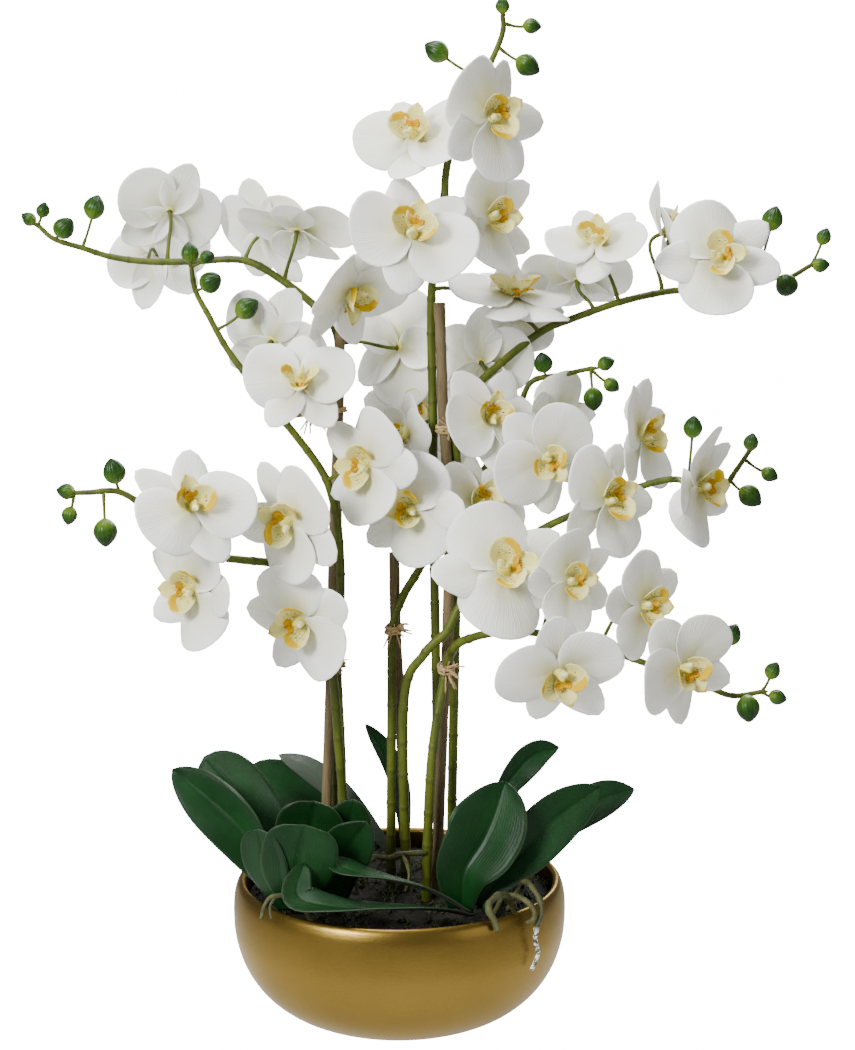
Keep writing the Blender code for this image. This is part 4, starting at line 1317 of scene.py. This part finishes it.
class OBJECT_OT_orchid_flowers(OrchidOperator, bpy.types.Operator):
    """Build every flower: its petals and its lip with the column"""

    bl_idname = "object.orchid_flowers"
    bl_label = "Flowers"

    def execute(self, context):
        for number, (name, _, x, y, z, az, el, roll, size, form) in enumerate(
                FLOWERS + INNER_FLOWERS):
            place = Vector((x, y, z)) * MM
            nodes = []
            if number < len(FLOWERS):
                nodes = ["flower_" + name]
                low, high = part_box(nodes[0])
                if ((low + high) / 2 - place).length > FLOWER_DRIFT:
                    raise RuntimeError("the flower table and the frame disagree at " + name)
            matrix = Matrix.Translation(place) @ facing_matrix(az, el, roll)
            petals = placed(flower_petals(size, form, number), matrix)
            lip = placed(flower_lip(size, number), matrix)
            add_piece("petals_" + name, petals, "Petal Cloth", "petal_white", *nodes)
            add_piece("lip_" + name, lip, "Flower Lip", "petal_white")
        return {"FINISHED"}


class OBJECT_OT_orchid_leaves(OrchidOperator, bpy.types.Operator):
    """Build the strap leaves of each plant"""

    bl_idname = "object.orchid_leaves"
    bl_label = "Leaves"

    def execute(self, context):
        for side, leaves in LEAVES.items():
            for k, row in enumerate(leaves):
                part = leaf_part(*row, k + len(side))
                nodes = ["leaves_" + side] if k == 0 else []
                add_piece("leaf_%s_%d" % (side, k + 1), part, "Leaf Green", "leaf_green", *nodes)
        return {"FINISHED"}


class OBJECT_OT_orchid_stakes(OrchidOperator, bpy.types.Operator):
    """Build the wooden stakes"""

    bl_idname = "object.orchid_stakes"
    bl_label = "Stakes"

    def execute(self, context):
        for name, points in STAKES.items():
            route = smooth_route(points, 14)
            count = len(route)
            radii = []
            for i in range(count):
                r = STAKE_R * (1 + 0.05 * noise.noise(Vector((i * 0.35, len(name), 0))))
                if name == "right" and i > count - 4:
                    r *= 1.12
                radii.append(r)
            part = rod(route, radii, 20, lump=0.10, seed=len(name))
            add_piece("stake_rod_" + name, part, "Stake Wood", "stake_wood", "stake_" + name)
        return {"FINISHED"}


class OBJECT_OT_orchid_roots(OrchidOperator, bpy.types.Operator):
    """Build the aerial roots"""

    bl_idname = "object.orchid_roots"
    bl_label = "Roots"

    def execute(self, context):
        for name, (points, radius) in ROOTS.items():
            route = smooth_route(points, 10)
            radii = [radius * (1 - 0.45 * (i / len(route)) ** 3) for i in range(len(route))]
            part = rod(route, radii, 12, lump=0.45, seed=len(name))
            if name == "right":
                part["tint"][:, 0] = np.clip((0.100 - part["v"][:, 2]) * 200, 0, 1)
            nodes = ["root_" + name] if name in ("right", "middle") else []
            add_piece("root_strand_" + name, part, "Root", "root", *nodes)
        return {"FINISHED"}


class OBJECT_OT_orchid_ties(OrchidOperator, bpy.types.Operator):
    """Build the raffia ties"""

    bl_idname = "object.orchid_ties"
    bl_label = "Raffia Ties"

    def execute(self, context):
        for name, (stake, stem, height) in TIES.items():
            stake_at = self.at_height(smooth_route(STAKES[stake], 8), height)
            stem_at = self.at_height(smooth_route(SPIKES[stem], 8), height)
            parts = self.tie(stake_at, stem_at, height, int(name))
            nodes = ["tie_" + name] if int(name) <= TIE_NODES else []
            add_piece("raffia_" + name, join_parts(parts), "Raffia", "raffia", *nodes)
        return {"FINISHED"}

    def at_height(self, route, z):
        """The point where a rising route reaches a height, or else its end."""
        for a, b in zip(route, route[1:]):
            if a.z <= z <= b.z:
                return a.lerp(b, (z - a.z) / (b.z - a.z))
        return route[-1]

    def tie(self, stake_at, stem_at, height, seed):
        """Turns of raffia round both rods, a knot and loose frayed ends."""
        rng = random.Random(seed)
        middle = (stake_at + stem_at) / 2
        axis = Vector((stem_at.x - stake_at.x, stem_at.y - stake_at.y, 0))
        half = axis.length / 2
        axis.normalize()
        side = Vector((-axis.y, axis.x, 0))
        parts = []
        for turn in range(TIE_TURNS):
            line = []
            lift = rng.uniform(-3.2, 3.2)
            for k in range(TIE_STEPS + 1):
                a = 2 * math.pi * k / TIE_STEPS
                r = 6.0 + 0.4 * math.sin(a * 3 + turn)
                out = axis * (math.cos(a) * r + math.copysign(half, math.cos(a)) * min(
                    1, abs(math.cos(a)) * 3)) + side * math.sin(a) * r
                line.append(Vector((middle.x, middle.y, height + lift + math.sin(a + turn))) + out)
            parts.append(rod(line, [1.0] * len(line), 6))
        knot = middle + Vector((0, -6.0, 0))
        knot.z = height
        for _ in range(3):
            centre = (knot.x + rng.uniform(-1.5, 1.5), knot.y, height + rng.uniform(-1, 1))
            parts.append(blob(centre, (3.4, 1.8, 2.6), (0, 0, 0), 10))
        for _ in range(TIE_LOOSE_ENDS):
            way = Vector((rng.uniform(-0.4, 1.0), rng.uniform(-0.5, -0.1), rng.uniform(-1.0, 0.3)))
            tip = knot + way.normalized() * rng.uniform(8, 19)
            bend = knot.lerp(tip, 0.5) + Vector((0, -1, rng.uniform(0, 2)))
            parts.append(rod(smooth_route([knot, bend, tip], 4), [0.7] * 8 + [0.25], 5))
        return parts


class OBJECT_OT_orchid_stage(OrchidOperator, bpy.types.Operator):
    """Set the pale floor, the soft lights, the pale surroundings and the camera"""

    bl_idname = "object.orchid_stage"
    bl_label = "Stage"

    def execute(self, context):
        bm = bmesh.new()
        bmesh.ops.create_circle(bm, cap_ends=True, segments=96, radius=FLOOR_RADIUS)
        mesh = bpy.data.meshes.new("floor")
        bm.to_mesh(mesh)
        bm.free()
        mesh.materials.append(material("Pale Floor"))
        floor = bpy.data.objects.new("floor", mesh)
        context.scene.collection.objects.link(floor)
        for row in LIGHTS:
            self.light(*row)
        world = bpy.data.worlds.new("Pale Surroundings")
        world.use_nodes = True
        n = Nodes(world.node_tree)
        back = world.node_tree.nodes["Background"]
        seen = n.add("ShaderNodeLightPath").outputs["Is Camera Ray"]
        back.inputs["Color"].default_value = (1.0, 1.0, 1.0, 1.0)
        n.join(n.plus(SOFT_LIGHT, n.times(seen, PAPER_WHITE)), back.inputs["Strength"])
        context.scene.world = world
        camera = bpy.data.cameras.new("camera")
        camera.lens = CAMERA_LENS
        camera.sensor_width = 36.0
        eye = bpy.data.objects.new("camera", camera)
        eye.location = CAMERA_PLACE
        drop = math.atan((CAMERA_PLACE[2] - CAMERA_AIM_HEIGHT) / -CAMERA_PLACE[1])
        eye.rotation_euler = (math.pi / 2 - drop, 0, 0)
        context.scene.collection.objects.link(eye)
        context.scene.camera = eye
        return {"FINISHED"}

    def light(self, name, place, size, power):
        """A round area light, aimed at the middle of the plant."""
        data = bpy.data.lights.new(name, "AREA")
        data.shape = "DISK"
        data.size = size
        data.energy = power
        obj = bpy.data.objects.new(name, data)
        obj.location = place
        aim = Vector(LIGHT_AIM) - Vector(place)
        obj.rotation_euler = aim.to_track_quat("-Z", "Y").to_euler()
        bpy.context.scene.collection.objects.link(obj)


OPERATORS = (
    OBJECT_OT_orchid_bowl, OBJECT_OT_orchid_soil, OBJECT_OT_orchid_stems, OBJECT_OT_orchid_buds,
    OBJECT_OT_orchid_flowers, OBJECT_OT_orchid_leaves, OBJECT_OT_orchid_stakes,
    OBJECT_OT_orchid_roots, OBJECT_OT_orchid_ties, OBJECT_OT_orchid_stage,
)


class VIEW3D_PT_orchid(bpy.types.Panel):
    """Sidebar panel that lists the settings and the pieces"""

    bl_idname = "VIEW3D_PT_orchid"
    bl_label = "Potted Orchid"
    bl_space_type = "VIEW_3D"
    bl_region_type = "UI"
    bl_category = "Orchid"

    def draw(self, context):
        settings = context.scene.orchid
        for name in OrchidSettings.__annotations__:
            self.layout.prop(settings, name)
        for operator in OPERATORS:
            self.layout.operator(operator.bl_idname)


CLASSES = (OrchidSettings, *OPERATORS, VIEW3D_PT_orchid)


def register():
    for item in CLASSES:
        bpy.utils.register_class(item)
    bpy.types.Scene.orchid = bpy.props.PointerProperty(type=OrchidSettings)


def unregister():
    del bpy.types.Scene.orchid
    for item in reversed(CLASSES):
        bpy.utils.unregister_class(item)


def corners(box):
    return [[float(x) for x in corner] for corner in box]


def main():
    register()
    for operator in OPERATORS:
        group, name = operator.bl_idname.split(".")
        getattr(getattr(bpy.ops, group), name)()


if __name__ == "__main__":
    main()
